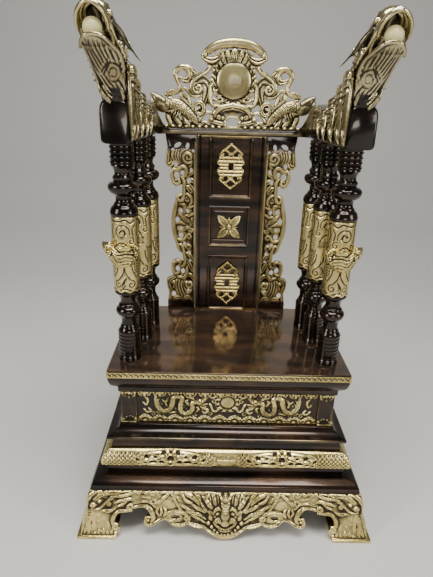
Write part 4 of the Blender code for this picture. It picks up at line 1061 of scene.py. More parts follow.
def sleeve_carving(sheet):
    """Engraved clouds above, feathers and combs below, over the front and again behind."""
    z = column_foot
    for shift in (-44, 0, 44):
        def cut(*paths):
            for path in paths:
                sheet.engrave([(shift + a, z + b, 1.55 * r) for a, b, r in path], 0.9)
        cut(volute((2, 222), 13, 2, 200, -560, 0.8, 0.9), volute((-13, 208), 6, 1.5, 60, 420, 0.7, 0.9),
            volute((14, 205), 5, 1.4, 120, -400, 0.7, 0.9),
            [(-20, 240, 0.7), (-12, 236, 0.8), (-4, 241, 0.8), (8, 238, 0.8), (20, 241, 0.7)],
            [(-20, 232, 0.7), (-15, 225, 0.8), (-17, 215, 0.7)],
            [(18, 234, 0.7), (20, 222, 0.8), (17, 212, 0.7)],
            [(-8, 195, 0.8), (-4, 203, 0.8), (4, 206, 0.8), (12, 200, 0.8)],
            [(-20, 150, 0.7), (-14, 160, 0.8), (-12, 171, 0.7)],
            [(20, 150, 0.7), (13, 160, 0.8), (12, 171, 0.7)],
            [(0, 166, 0.8), (-3, 155, 0.8), (-9, 147, 0.7)], [(0, 166, 0.8), (3, 155, 0.8), (9, 147, 0.7)],
            volute((-11, 138), 7, 1.6, 90, 430, 0.8, 0.9), volute((11, 138), 7, 1.6, 90, -430, 0.8, 0.9),
            [(-21, 129, 0.7), (-12, 127, 0.8), (0, 131, 0.8), (12, 127, 0.8), (21, 129, 0.7)])
        for k in range(5):
            cut([(-11 + k * 2.6, 184, 0.55), (-9 + k * 2.6, 190, 0.6), (-10 + k * 2.6, 195, 0.5)],
                [(-3 + k * 1.6, 150 - k * 2, 0.55), (0 + k * 1.4, 143 - k * 2, 0.6), (-1 + k, 136 - k, 0.5)],
                [(15 + k * 0.8, 178 - k * 4.5, 0.55), (19, 174 - k * 4.5, 0.6), (22, 176 - k * 4.5, 0.5)],
                [(-15 - k * 0.8, 178 - k * 4.5, 0.55), (-19, 174 - k * 4.5, 0.6), (-22, 176 - k * 4.5, 0.5)],
                [(-7 + k * 3.5, 217 + k, 0.55), (-4 + k * 2.5, 222, 0.6), (-2 + k * 1.5, 226 - k, 0.5)])


sleeve_across = np.linspace(-SLEEVE_RADIUS * pi, SLEEVE_RADIUS * pi, 105)
sleeve_up = np.linspace(column_foot + SLEEVE[0], column_foot + SLEEVE[1], 79)
sleeve_sheet = Relief(sleeve_across, sleeve_up)
sleeve_carving(sleeve_sheet)


def sleeve(name, place, mirrored):
    """The sleeve's engraved sheet, bent round a column."""
    height = sleeve_sheet.height[::-1] if mirrored else sleeve_sheet.height
    turn = sleeve_across[:-1] / SLEEVE_RADIUS
    rings = []
    for row, z in enumerate(sleeve_up):
        wave = 1.4 * np.cos(turn * 9) if row < 3 else 0 * turn
        radius = SLEEVE_RADIUS + height[:-1, row] - (1.2 if row in (0, len(sleeve_up) - 1) else 0)
        rings.append(list(zip(place[0] + radius * np.sin(turn), place[1] - radius * np.cos(turn),
                              z + wave + (row < 3) * 1.4)))
    piece = lofted(name, rings, sharp=180)
    around = blurred(height[:-1, :, None], 2)[:, :, 0]
    marked(piece, "hollow", (0.5 + 0.36 * (around - height[:-1])).T.ravel())
    return piece


engraved_gold = metal_finish("engraved_gold_brass", bright=(0.80, 0.665, 0.30), dull=(0.60, 0.475, 0.19),
                             polish=0.26,
                             grime_start=0.515)
turned_smoke = metal_finish("turned_smoked_brass", brass_cover="none", brown=(0.048, 0.030, 0.020), gloss=0.10)
for standing in ("front", "middle", "back"):
    for side in ("left", "right"):
        node = f"column_{standing}_{side}"
        axis_place = (SEAT_HALF_WIDTH * COLUMN_ACROSS[standing] * (-1 if side == "left" else 1),
                      SEAT_HALF_DEPTH * COLUMN_ALONG[standing])
        column = turned(f"{node}_turned", axis_place)
        finished(column, turned_smoke, "smoked_brass", node)
        finished(sleeve(f"{node}_sleeve", axis_place, side == "left"), engraved_gold, "polished_brass")

# Front column mounts
# A winged cloud beast in gold stands out from the sleeve of each front column.
# It is cast hollow with curled wings and a row of breast feathers, and riveted on.

mount_step = (0.9, 0.9, 0.9)
mount_across, mount_out = np.arange(-34, 36, 0.9), np.arange(-1.5, 16.5, 0.9)
mount_up = column_foot + np.arange(160, 214, 0.9)
mount = Relief(mount_across, mount_up)


def wing_of_beast(cut, lift, swell, *paths):
    for path in paths:
        mount.stem([(a, column_foot + b, r) for a, b, r in path], cut, lift, swell)


mount.boss((0, column_foot + 183), (21, 17), 8.0, 0.5)
wing_of_beast("veined", 2.5, 1.0, [(36, 200, 1.0), (30, 194, 3.0), (22, 185, 4.6), (12, 176, 4.6),
                                   (2, 169, 2.5)],
              [(32, 187, 1.0), (26, 181, 3.0), (18, 174, 3.6), (8, 168, 2.6)],
              [(18, 207, 0.9), (16.5, 199, 3.0), (13, 191, 3.8), (8, 184, 2.4)],
              [(-22, 190, 1.4), (-18, 181, 3.4), (-10, 173, 3.8), (1, 168, 2.8)])
wing_of_beast("groove", 6.0, 1.0, [(12, 196, 1.8), (6, 190, 2.6), (-1, 188, 2.8), (-10, 191, 2.2)],
              [(10, 186, 1.8), (2, 181, 2.6), (-8, 184, 2.2)],
              [(7, 178, 1.6), (0, 174, 2.4), (-8, 178, 1.8)],
              [(16, 182, 1.4), (10, 174, 2.2), (2, 169.5, 2.2), (-7, 171, 1.6)])
for k in range(5):
    wing_of_beast("round", 8.2 - 0.5 * k, 1.1,
                  [(14 - 2 * k, 193 - 5.2 * k, 0.8), (6 - k, 188.5 - 5.2 * k, 1.4),
                                                (-3, 191.5 - 5.2 * k, 1.4), (-12 + k, 189 - 5.2 * k, 0.9)])
for x, z in ((20, 197), (25, 190), (19, 188), (14, 180), (-16, 186), (-12, 179), (24, 183)):
    mount.stem(volute((x, column_foot + z), 3.2, 0.9, 40, 400, 1.1), "round", 6.2, 1.2)
mount.boss((-3, column_foot + 197), (9.5, 5.4), 5.0, 5.0)
mount.stem(volute((-5, column_foot + 197), 4.4, 1.0, 0, 400, 1.5), "round", 8.5, 0.9)
mount.boss((-17.5, column_foot + 195.5), 6.0, 5.6, 3.5, ring=0.5)
mount.sink((-2, column_foot + 204.5), (10.0, 2.0), 10)
mount.sink((5, column_foot + 164.5), (2.8, 2.0), 10)
mount.sink((-5, column_foot + 164.5), (2.8, 2.0), -10)
outward = mount_out[None, :, None]
mount_field = np.maximum(outward - np.clip(mount.height, -9, 14.5)[:, None, :], -mount.edge[:, None, :])
mount_field = np.maximum(mount_field, -1.0 - outward)
for side in (-1, 1):
    def round_the_column(a, o, u):
        turn = side * a / SLEEVE_RADIUS
        spread = 0.55 * np.maximum(a - 13, 0) * np.clip((u - column_foot - 172) / 24, 0, 1)
        reach = SLEEVE_RADIUS + 0.2 + o * (1 + 0.012 * (u - column_foot - 186)) + spread * (o > 0.5)
        return (side * SEAT_HALF_WIDTH * COLUMN_ACROSS["front"] + reach * np.sin(turn),
                SEAT_HALF_DEPTH * COLUMN_ALONG["front"] - reach * np.cos(turn), u + 0.25 * np.maximum(o, 0))
    beast = cast(f"column_beast_{'left' if side < 0 else 'right'}", mount_field,
                 (mount_across[0], mount_out[0], mount_up[0]), mount_step, 22000, bend=round_the_column)
    if side < 0:
        beast.data.flip_normals()
    finished(beast, chased_brass, "polished_brass")

# Back board
# A smoked brass board between the columns: two stiles and three recessed panels, framed by fillets.
# Its arrises are rubbed bright, and the panels hold the gold mounts.

_, board_front, board_low = (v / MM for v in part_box("back_board")[0])
board_half, board_back, board_high = (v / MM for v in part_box("back_board")[1])
PANEL_HALF = 36.5
PANEL_HEIGHTS = (301, 414), (441, 514), (538, 646)
board_x = even(board_half + 1, 1.0)
board_z = np.arange(board_low - 1, board_high + 1.1, 1.0)
board = Relief(board_x, board_z, edge=9.0)


def panel(half, low, high, depth):
    """Sinks a rectangle with a small bevel all round."""
    inside = np.minimum(half - np.abs(board.across)[:, None],
                        np.minimum(board.up - low, high - board.up)[None])
    board.height[:] = np.minimum(board.height, board.height - depth * np.clip(inside / 1.2, 0, 1))


for low, high in PANEL_HEIGHTS:
    panel(PANEL_HALF, low, high, 4.0)
for x in (-59, 59):
    board.engrave([(x, board_low + 2, 0.8), (x, board_high - 2, 0.8)], 1.2, straight=True)
for x in (-39.4, 39.4):
    for low, high in PANEL_HEIGHTS:
        board.stem([(x, low + 2, 0.8), (x, high - 2, 0.8)], "round", 0.0, 0.7, straight=True)
for z in (417, 438, 517, 535):
    board.stem([(-PANEL_HALF - 3, z, 0.9), (PANEL_HALF + 3, z, 0.9)], "round", 0.0, 0.7, straight=True)
for x0, z0, x1, z1 in ((-32, 451, -32, 509), (32, 451, 32, 509), (-32, 451, 32, 451), (-32, 509, 32, 509)):
    board.engrave([(x0, z0, 0.7), (x1, z1, 0.7)], 0.9, straight=True)
board_y = np.arange(board_front - 1.5, board_back + 1.6, 1.5)
board_field = np.maximum(board_front + 0.9 - board.height[:, None, :] - board_y[None, :, None],
                         board_y[None, :, None] - board_back)
board_field = np.maximum(board_field, np.abs(board_x)[:, None, None] - board_half)
board_field = np.maximum(board_field, above_or_below(board_z, board_low, board_high))
back_board = cast("back_board_casting", board_field, (board_x[0], board_y[0], board_z[0]), (1.0, 1.5, 1.0),
                  34000)
worn_smoke = metal_finish("worn_smoked_brass", brass_cover="none", wear=5.0)
finished(back_board, worn_smoke, "smoked_brass", "back_board")

# Medallions and flower
# Two pierced medallions, level bars between hooked lozenges, and a four-petalled flower between them.
# Each is cast in gold brass with a gently domed face and pinned into its panel.


def openwork(name, sheet, face, back, triangles, step=0.9, back_share=0.5):
    """A pierced plate whose carving stands out of its face; its back is flatter."""
    y = np.arange(face - sheet.height.max() - 2 * step, back + 3 * step, step)
    front = face - sheet.height[:, None, :]
    field = np.maximum(front - y[None, :, None],
                       y[None, :, None] - back - np.minimum(back_share * sheet.height, 3.0)[:, None, :])
    field = np.maximum(field, -np.clip(sheet.edge, -9, 9)[:, None, :])
    grid = (sheet.across[1] - sheet.across[0], step, sheet.up[1] - sheet.up[0])
    return cast(name, field, (sheet.across[0], y[0], sheet.up[0]), grid, triangles)


def medallion(node):
    (left, front, low), (right, back, high) = (np.array(c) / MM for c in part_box(node))
    middle, half, rise = (low + high) / 2, (right - left) / 2, (high - low) / 2
    sheet = Relief(np.arange(left - 1, right + 1.7, 0.7), np.arange(low - 1, high + 1.7, 0.7))
    for s in (-1, 1):
        for t in (-1, 1):
            def place(x, z, r):
                return (s * x * half / 27, middle + t * z * rise / 42.5, r)
            sheet.stem([place(0, 41, 2.6), place(11.5, 31.5, 2.8), place(0, 22.5, 2.6)], "round", 0.8, 0.8,
                       straight=True)
            sheet.stem([place(10, 31.5, 2.4), place(16, 28.5, 2.6), place(20.5, 22.8, 2.5),
                        place(17.6, 19.8, 2.2),
                        place(14.2, 22.6, 1.7)], "round", 0.8, 0.8)
            for z, near, far in ((16.0, 0, 20.5), (9.2, 0, 24.4), (2.9, 6.0, 20.5)):
                sheet.stem([place(near, z, 2.3), place(far, z, 2.3)], "round", 0.8, 0.8, straight=True)
            sheet.stem([place(24.4, 9.2, 1.8), place(22.0, 13.6, 1.8), place(20.5, 16, 1.8)], "round", 0.6,
                       0.8)
            sheet.stem([place(20.5, 2.9, 1.8), place(24.4, 6.0, 1.8), place(24.4, 9.2, 1.8)], "round", 0.6,
                       0.8)
            sheet.stem([place(6.0, 0, 2.2), place(6.0, 9.2, 2.2)], "round", 0.6, 0.8, straight=True)
            sheet.stem([place(5.0, 16, 2.0), place(3.2, 23.5, 2.0)], "round", 0.6, 0.8, straight=True)
            sheet.stem([place(14.0, 9.2, 1.7), place(14.0, 19.5, 1.7)], "round", 0.6, 0.8, straight=True)
    piece = openwork(f"{node}_casting", sheet, back - 3.2, back - 0.3, 16000, step=0.8, back_share=0)
    finished(piece, chased_brass, "polished_brass", node)


medallion("medallion_top")
medallion("medallion_bottom")

(left, front, low), (right, back, high) = (np.array(c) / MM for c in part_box("flower_plaque"))
flower_middle = (low + high) / 2
flower = Relief(np.arange(left - 1, right + 1.7, 0.6), np.arange(low - 1, high + 1.7, 0.6))
for s in (-1, 1):
    for t in (-1, 1):
        for cut, swell, path in (
                ("hollow", 0.45, [(3, 3, 3.0), (11, 11, 8.2), (18, 18, 4.2), (22.2, 22.2, 0.8)]),
                ("round", 1.6, [(4, 4, 0.9), (12, 12, 1.2), (20, 20, 0.6)]),
                ("round", 1.6, [(7, 3, 1.0), (14, 6.5, 1.5), (20, 13, 0.9)]),
                ("round", 1.6, [(3, 7, 1.0), (6.5, 14, 1.5), (13, 20, 0.9)])):
            flower.stem([(s * x, flower_middle + t * z, r) for x, z, r in path], cut, 0.6, swell)
    for path in ([(s * 4, flower_middle, 2.2), (s * 12, flower_middle, 3.2), (s * 18.5, flower_middle, 0.8)],
                 [(0, flower_middle + s * 4, 2.2), (0, flower_middle + s * 12, 3.2),
                  (0, flower_middle + s * 18, 0.8)]):
        flower.stem(path, "veined", 0.2, 0.6)
flower.boss((0, flower_middle), 5.4, 3.0, 2.2, ring=0.62)
flower_plaque = openwork("flower_plaque_casting", flower, back - 2.4, back - 0.3, 16000, step=0.7,
                         back_share=0)
finished(flower_plaque, chased_brass, "polished_brass", "flower_plaque")

# Wings beside the board
# Two openwork wings of cloud scrolls and a lotus, cast flat in brass and only dully polished.
# Each is pinned to the board's edge, under a bracket at the rail and on a strip at the seat.

WING_STEMS = {
    "round": [
        [(108.8, 620.8, 1.9), (110.5, 611.6, 2.5), (106.3, 603.4, 2.3), (100.4, 597.6, 1.9)],
        [(103.7, 621.8, 1.7), (105.8, 611.7, 2.4), (102.1, 603.5, 2.4), (96.1, 597.7, 1.7)],
        [(98.9, 621.9, 1.7), (101, 611.8, 2.4), (98, 603.6, 2.4), (92.7, 598.6, 1.6)],
        [(93.9, 621.2, 1.6), (96.6, 611.9, 2.3), (93.5, 603.7, 2.3), (88.8, 598.7, 1.6)],
        [(91, 620, 1.6), (92, 611.9, 2.3), (89, 603.7, 2.3)],
        [(74.8, 599.2, 2.4), (78.2, 594.1, 2.4), (81.6, 595.7, 1.7)],
        [(109, 587.5, 2.4), (106.4, 585, 3.1), (99.6, 586.9, 3.1), (94.4, 591.7, 3.3), (88.4, 591.9, 3.3),
         (85, 586.4, 3.1), (85.8, 577.1, 2.8), (91, 571.9, 1.9), (96.2, 572.6, 1.6)],
        [(96.7, 583.9, 1.4), (96.7, 573.1, 1.4)],
        [(110.7, 584.9, 2.1), (112.2, 576.4, 2.4), (110.8, 568.8, 2.6), (107.4, 561.2, 2.9),
         (102.2, 559.6, 3.1), (97.9, 563.2, 2.8), (99.6, 567.4, 2.4), (103.9, 566.4, 1.7)],
        [(91.8, 571.3, 2.4), (88.4, 563.4, 2.9), (88.7, 553.1, 2.8), (88.7, 542.7, 2.8), (89.7, 534.8, 2.8)],
        [(94.5, 538.2, 2.1), (99.7, 537.2, 2.6), (101.5, 531.9, 2.8), (98, 526.7, 3), (91.8, 528.6, 3),
         (89.7, 535.7, 2.8), (87.5, 540.1, 2.4), (81.4, 539.4, 2.6), (76.1, 534.3, 2.8), (74.3, 525.5, 2.5),
         (77.8, 518.4, 1.8)],
        [(101.5, 530.1, 2.5), (104.2, 519.5, 2.8), (107.2, 507, 3.0), (109.3, 492.6, 3.1), (109.7, 478, 3.1),
         (108.4, 465.2, 3.1), (105.4, 452.3, 2.9), (101.8, 440.2, 2.7), (98.2, 430, 2.4),
         (94.6, 424.4, 1.8)],
        [(102.4, 519.5, 1.8), (95.4, 521.5, 2.5), (88.3, 518.1, 2.8), (87.4, 511, 2.5), (89.7, 502, 2.1)],
        [(87.4, 516.4, 1.4), (83, 512.9, 2.1), (77.7, 514.8, 2.5), (70.5, 517.6, 1.8)],
        [(88.5, 499.5, 1.6), (81.2, 496.8, 2.3), (75, 499.7, 2.5), (69.6, 503.4, 1.6)],
        [(104.5, 457.9, 1.8), (100.9, 449.6, 2.7), (92.8, 448, 3.1), (86.4, 451.8, 2.7), (83.7, 458.4, 2.2)],
        [(99.2, 438.5, 2.5), (92.8, 436.7, 3.1), (92.8, 430.1, 2.5), (96.4, 427.2, 1.8)],
        [(90.6, 431.3, 2.9), (87.8, 415, 2.9), (86.4, 403.5, 2.9), (88.2, 395.7, 2.9), (93.7, 392.7, 2.8),
         (98.3, 394.5, 2.2)],
        [(98.3, 394.5, 1.8), (96.5, 400.4, 2.6), (100.1, 404.1, 2.9), (106.6, 402, 3.1), (110.3, 395.2, 2.9),
         (110.7, 385.4, 2.8), (107.6, 376.7, 3), (101.1, 377.8, 2.6), (97.1, 381.8, 1.7)],
        [(104.9, 373.8, 1.9), (98.4, 369, 2.8), (90, 368.2, 3.2), (84.1, 374.3, 3), (82.6, 384.1, 2.8),
         (82.6, 393.9, 2.4), (77, 397.9, 1.8)],
        [(95.6, 388.9, 1.3), (92.8, 372.1, 1.3)],
        [(115.2, 357.7, 2.4), (109.6, 356.8, 3.2), (107.8, 349.9, 2.4), (110.6, 345.8, 1.7)],
        [(104, 361.9, 1.9), (105, 349.9, 2.5), (102.2, 337.9, 2.5), (96.6, 324.9, 1.7)],
        [(98.4, 362.1, 1.9), (99.7, 350.1, 2.5), (97.1, 338, 2.5), (91.9, 325, 1.7)],
        [(92.8, 363.2, 1.9), (94.5, 352.2, 2.4), (92.2, 340.2, 2.4), (87.2, 329.2, 1.7)],
        [(88.1, 364.3, 1.7), (89.6, 354.3, 2.2), (87.2, 343.3, 2.2), (82.5, 334.4, 1.7)],
        [(72, 344, 1.6), (77, 336, 2.4), (84, 332, 2.0)],
        [(68.4, 640, 2), (68.2, 480, 2), (68.4, 306, 2)],
        *[volute(*eye, *run) for eye, run in (
            (((81.6, 609.8), 10.4, 2.4, 240), (500, 3.4, 0.8)),
            (((82, 530.0), 4.6, 1.2, 60), (-400, 1.9, 0.8)), (((76, 470), 4.2, 1.2, 180), (420, 2.4, 0.8)),
            (((78.3, 455.8), 4.8, 1.4, 90), (-420, 2.5, 0.8)),
            (((80.0, 433.2), 5.0, 1.4, 0), (440, 2.6, 0.8)),
            (((77.8, 353), 7.4, 2.0, 30), (-480, 3.0, 0.8)))]],
    "groove": [
        [(116.5, 627.8, 2.2), (119, 616.3, 2.6), (119.9, 608.1, 2.6), (121.0, 600.5, 2.6), (119, 595.6, 2.9),
         (113.2, 597.4, 3.8), (110.6, 602.5, 2.6), (114, 605.7, 1.6)],
        [(83.5, 574.8, 1.4), (77.2, 579, 2.6), (69.9, 583.4, 1.9)],
        [(81, 560.9, 1.4), (74.6, 567.2, 3.3), (69.7, 563, 2.1)],
        [(87.8, 551.4, 1.6), (81.4, 553.3, 3.5), (76, 544.7, 2.4)],
        [(78.4, 558.9, 1.4), (72.7, 550, 3.1), (70.3, 543.1, 1.4)],
        [(86.1, 421, 1.6), (76.6, 415.3, 3.3), (70.7, 403.8, 2.0)],
        [(83.9, 409.4, 1.6), (77.1, 396, 3.4), (71.4, 384.3, 2.4)],
        [(84, 372, 1.6), (76, 374, 3.0), (70, 366, 2.2)],
        [(107.5, 369.7, 2.2), (118, 363.6, 3.6), (120.4, 357.5, 3.0), (119, 347.6, 3.0), (116.3, 337.6, 2.6),
         (117.4, 327.4, 2.5), (119.4, 310.1, 2.5)],
        [(110.9, 317.4, 1.6), (101.3, 324.7, 3.6), (92.7, 317.8, 2.0)],
        [(90.2, 318, 1.6), (82.4, 326.2, 3.4), (73.7, 318.3, 2.0)]],
    "veined": [
        [(74.7, 482.5, 2.4), (82.9, 487.8, 3.9), (89.2, 493.9, 4.0), (97.3, 500.2, 1.2)],
        [(74.7, 479.7, 2.0), (86.5, 480.8, 2.8), (94.5, 483.0, 2.6), (107.5, 481.9, 1.2)],
        [(74.6, 477, 2.3), (84.7, 474, 3.8), (91.9, 469.3, 3.3), (99.1, 461.6, 1.2)],
        [(71.2, 476.9, 1.6), (73.5, 489.8, 2.4), (70.4, 499.1, 1.1)]]}
wing = Relief(np.arange(65, 126, 0.8), np.arange(board_low - 1.6, board_high + 1.7, 0.8))
for cut, paths in WING_STEMS.items():
    for path in paths:
        wing.stem([(x, z, 0.5 + 1.32 * r) for x, z, r in path], cut, 0.8, 0.85)
wing.boss((76, 480), 3.6, 2.4, 2.0, ring=0.6)
wing.edge = np.maximum(wing.edge, wing.shape([
    (66.5, 646), (122.2, 646.2), (120.2, 622.2), (123.7, 597), (114.2, 593.2), (113.4, 576.1),
    (109.7, 557.1), (100.1, 556.7), (91, 559.2), (92, 541.5), (102.7, 537.4), (108.4, 515), (110.2, 488.3),
    (108.7, 457.8), (103.2, 428.3), (93.7, 421.5), (89.3, 419.1), (90.3, 403.8), (100.5, 406.1),
    (110.8, 395.1), (111, 372.5), (120.7, 365), (122.5, 355.7), (116.4, 342.8), (119, 324), (120.4, 297.2),
    (66.5, 297)]))
for x, z, reach in ((113, 623.9, 3.1), (104.7, 596.6, 3.6), (103.2, 576.3, 5.1), (92, 580.4, 3.8),
                    (79.2, 566.8, 3.5), (75.4, 586.4, 2.5), (95, 507.1, 3.8), (82.2, 507.4, 3.2),
                    (101.9, 489.2, 4.5), (95, 471.8, 3.2), (95, 457.4, 4.5), (88, 440.2, 3.0),
                    (101.6, 386.9, 4.5), (91.3, 382, 4.1), (79, 423, 2.2), (76, 405, 2.2), (80, 340, 2.4)):
    wing.sink((x, z), (reach * 0.95, reach * 1.25))
bracket = wing.shape([(66.5, 655), (124, 655), (122.6, 641), (119, 627), (112, 613), (100, 619), (92, 618),
                      (80, 621), (66.5, 619)])
foot_strip = wing.shape([(66.5, 298), (123.5, 298), (121, 318.5), (66.5, 318.5)])
for strap in (bracket, foot_strip):
    wing.height = np.where(strap > 0, np.maximum(wing.height, 1.4), wing.height)
    wing.edge = np.maximum(wing.edge, strap)
for x, z, ra, rb, turn in ((101, 632, 7.4, 4.0, -30), (82.6, 630.5, 3.4, 6.0, 12), (71.8, 622, 2.6, 2.6, 0),
                           (110.6, 624, 3.6, 2.2, -40), (110.2, 331, 4.4, 5.2, 0)):
    wing.sink((x, z), (ra, rb), turn)
wing.edge = np.minimum(wing.edge, np.minimum(board_high - 0.1 - wing.up, wing.up - board_low - 0.1)[None])
wing.edge = np.minimum(wing.edge, (wing.across - 66.4)[:, None])
old_gold = metal_finish("old_gold_brass", brass_cover="marked", bright=(0.50, 0.415, 0.18),
                        dull=(0.27, 0.195, 0.075),
                        grime_start=0.455, polish=0.34)
wing_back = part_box("wing_left")[1][1] / MM
for side in ("right", "left"):
    if side == "left":
        wing.across = -wing.across[::-1]
        wing.height, wing.edge = wing.height[::-1], wing.edge[::-1]
    piece = openwork(f"wing_{side}_casting", wing, wing_back - 3.0, wing_back - 0.3, 40000, step=1.0,
                     back_share=0.3)
    x, y, z = spots(piece).T
    marked(piece, "gilt_and_painted_light", np.clip((z - board_low - 18.5) / 2, 0, 1) * np.clip((626 - z) / 9, 0, 1))
    finished(piece, old_gold, "antique_brass", f"wing_{side}")

# Arm rail
# A heavy horseshoe rail on the six columns: low along the back, and sweeping up into deep square arms.
# It is hollow cast and smoked; painted highlights in brown gold lie on the swoops at its two back corners
# and in a thin line low along its front.

rail_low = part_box("arm_rail")[0][2] / MM
back_line = (board_front + board_back) / 2
rail_way = [(0, back_line, rail_low + 10, 10), (60, back_line, rail_low + 10, 10),
            (100, back_line, rail_low + 10.5, 10), (122, back_line - 2.5, rail_low + 13, 10.6),
            (136, back_line - 11, rail_low + 25, 11.6), (145, back_line - 28, rail_low + 43, 13),
            (149, back_line - 47, rail_low + 54, 14.6), (151, back_line - 66, rail_low + 57.6, 16),
            (154.5, 20, rail_low + 58, 17.2), (157, -10.2, rail_low + 58, 18), (161, -42, rail_low + 58, 19),
            (164.6, -66, rail_low + 58, 20.4), (167.2, -84, rail_low + 58, 21.6),
            (168, -100, rail_low + 58, 22), (168, -117, rail_low + 58, 22),
            (168, -122.4, rail_low + 57, 20.6), (168, -125.0, rail_low + 54, 18)]


def rail_section(spot, ahead, side):
    """A squarish ring round the rail with a flat foot and well-rounded shoulders."""
    x, y, top, half = spot
    rise = top - rail_low
    out = np.array([ahead[1], -ahead[0]])
    ring = []
    for k in range(36):
        angle = 2 * pi * (k + 0.5) / 36
        c, s = cos(angle), sin(angle)
        power = 0.5 if s > 0 else 0.22
        a = half * np.sign(c) * abs(c) ** power
        b = rail_low + rise * (0.5 + 0.5 * np.sign(s) * abs(s) ** power)
        ring.append((side * (x + a * out[0]), y + a * out[1], b))
    return ring if side > 0 else ring[::-1]


way = flowing(rail_way, 4.0)
way[-1] = rail_way[-1]
heading = np.gradient(way[:, :2], axis=0)
heading[0] = (1, 0)
heading /= np.linalg.norm(heading, axis=1)[:, None]
right_rings = [rail_section(spot, ahead, 1) for spot, ahead in zip(way, heading)]
left_rings = [[(-x, y, z) for x, y, z in ring] for ring in right_rings[1:]]
arm_rail = lofted("arm_rail_casting", left_rings[::-1] + right_rings, sharp=60)
x, y, z = spots(arm_rail).T
# Painted highlights: brown gold on the rising swoop at each back corner, and a thin bright line low along
# the front.
corner_highlight = np.exp(-((np.abs(x) - 138) / 11) ** 2) * np.exp(-((z - rail_low - 40) / 22) ** 2) * (y > 60)
fillet_highlight = (np.abs(x) < 128) * np.exp(-((z - rail_low - 3.0) / 1.8) ** 2) * (y < back_line)
marked(arm_rail, "gilt_and_painted_light", np.clip(corner_highlight + fillet_highlight, 0, 1))
painted_highlight_smoke = metal_finish("smoked_brass_with_painted_highlights", brass_cover="marked", bright=(0.42, 0.33, 0.17),
                            dull=(0.22, 0.15, 0.075),
                            polish=0.22, brown=(0.034, 0.026, 0.020))
finished(arm_rail, painted_highlight_smoke, "smoked_brass", "arm_rail")
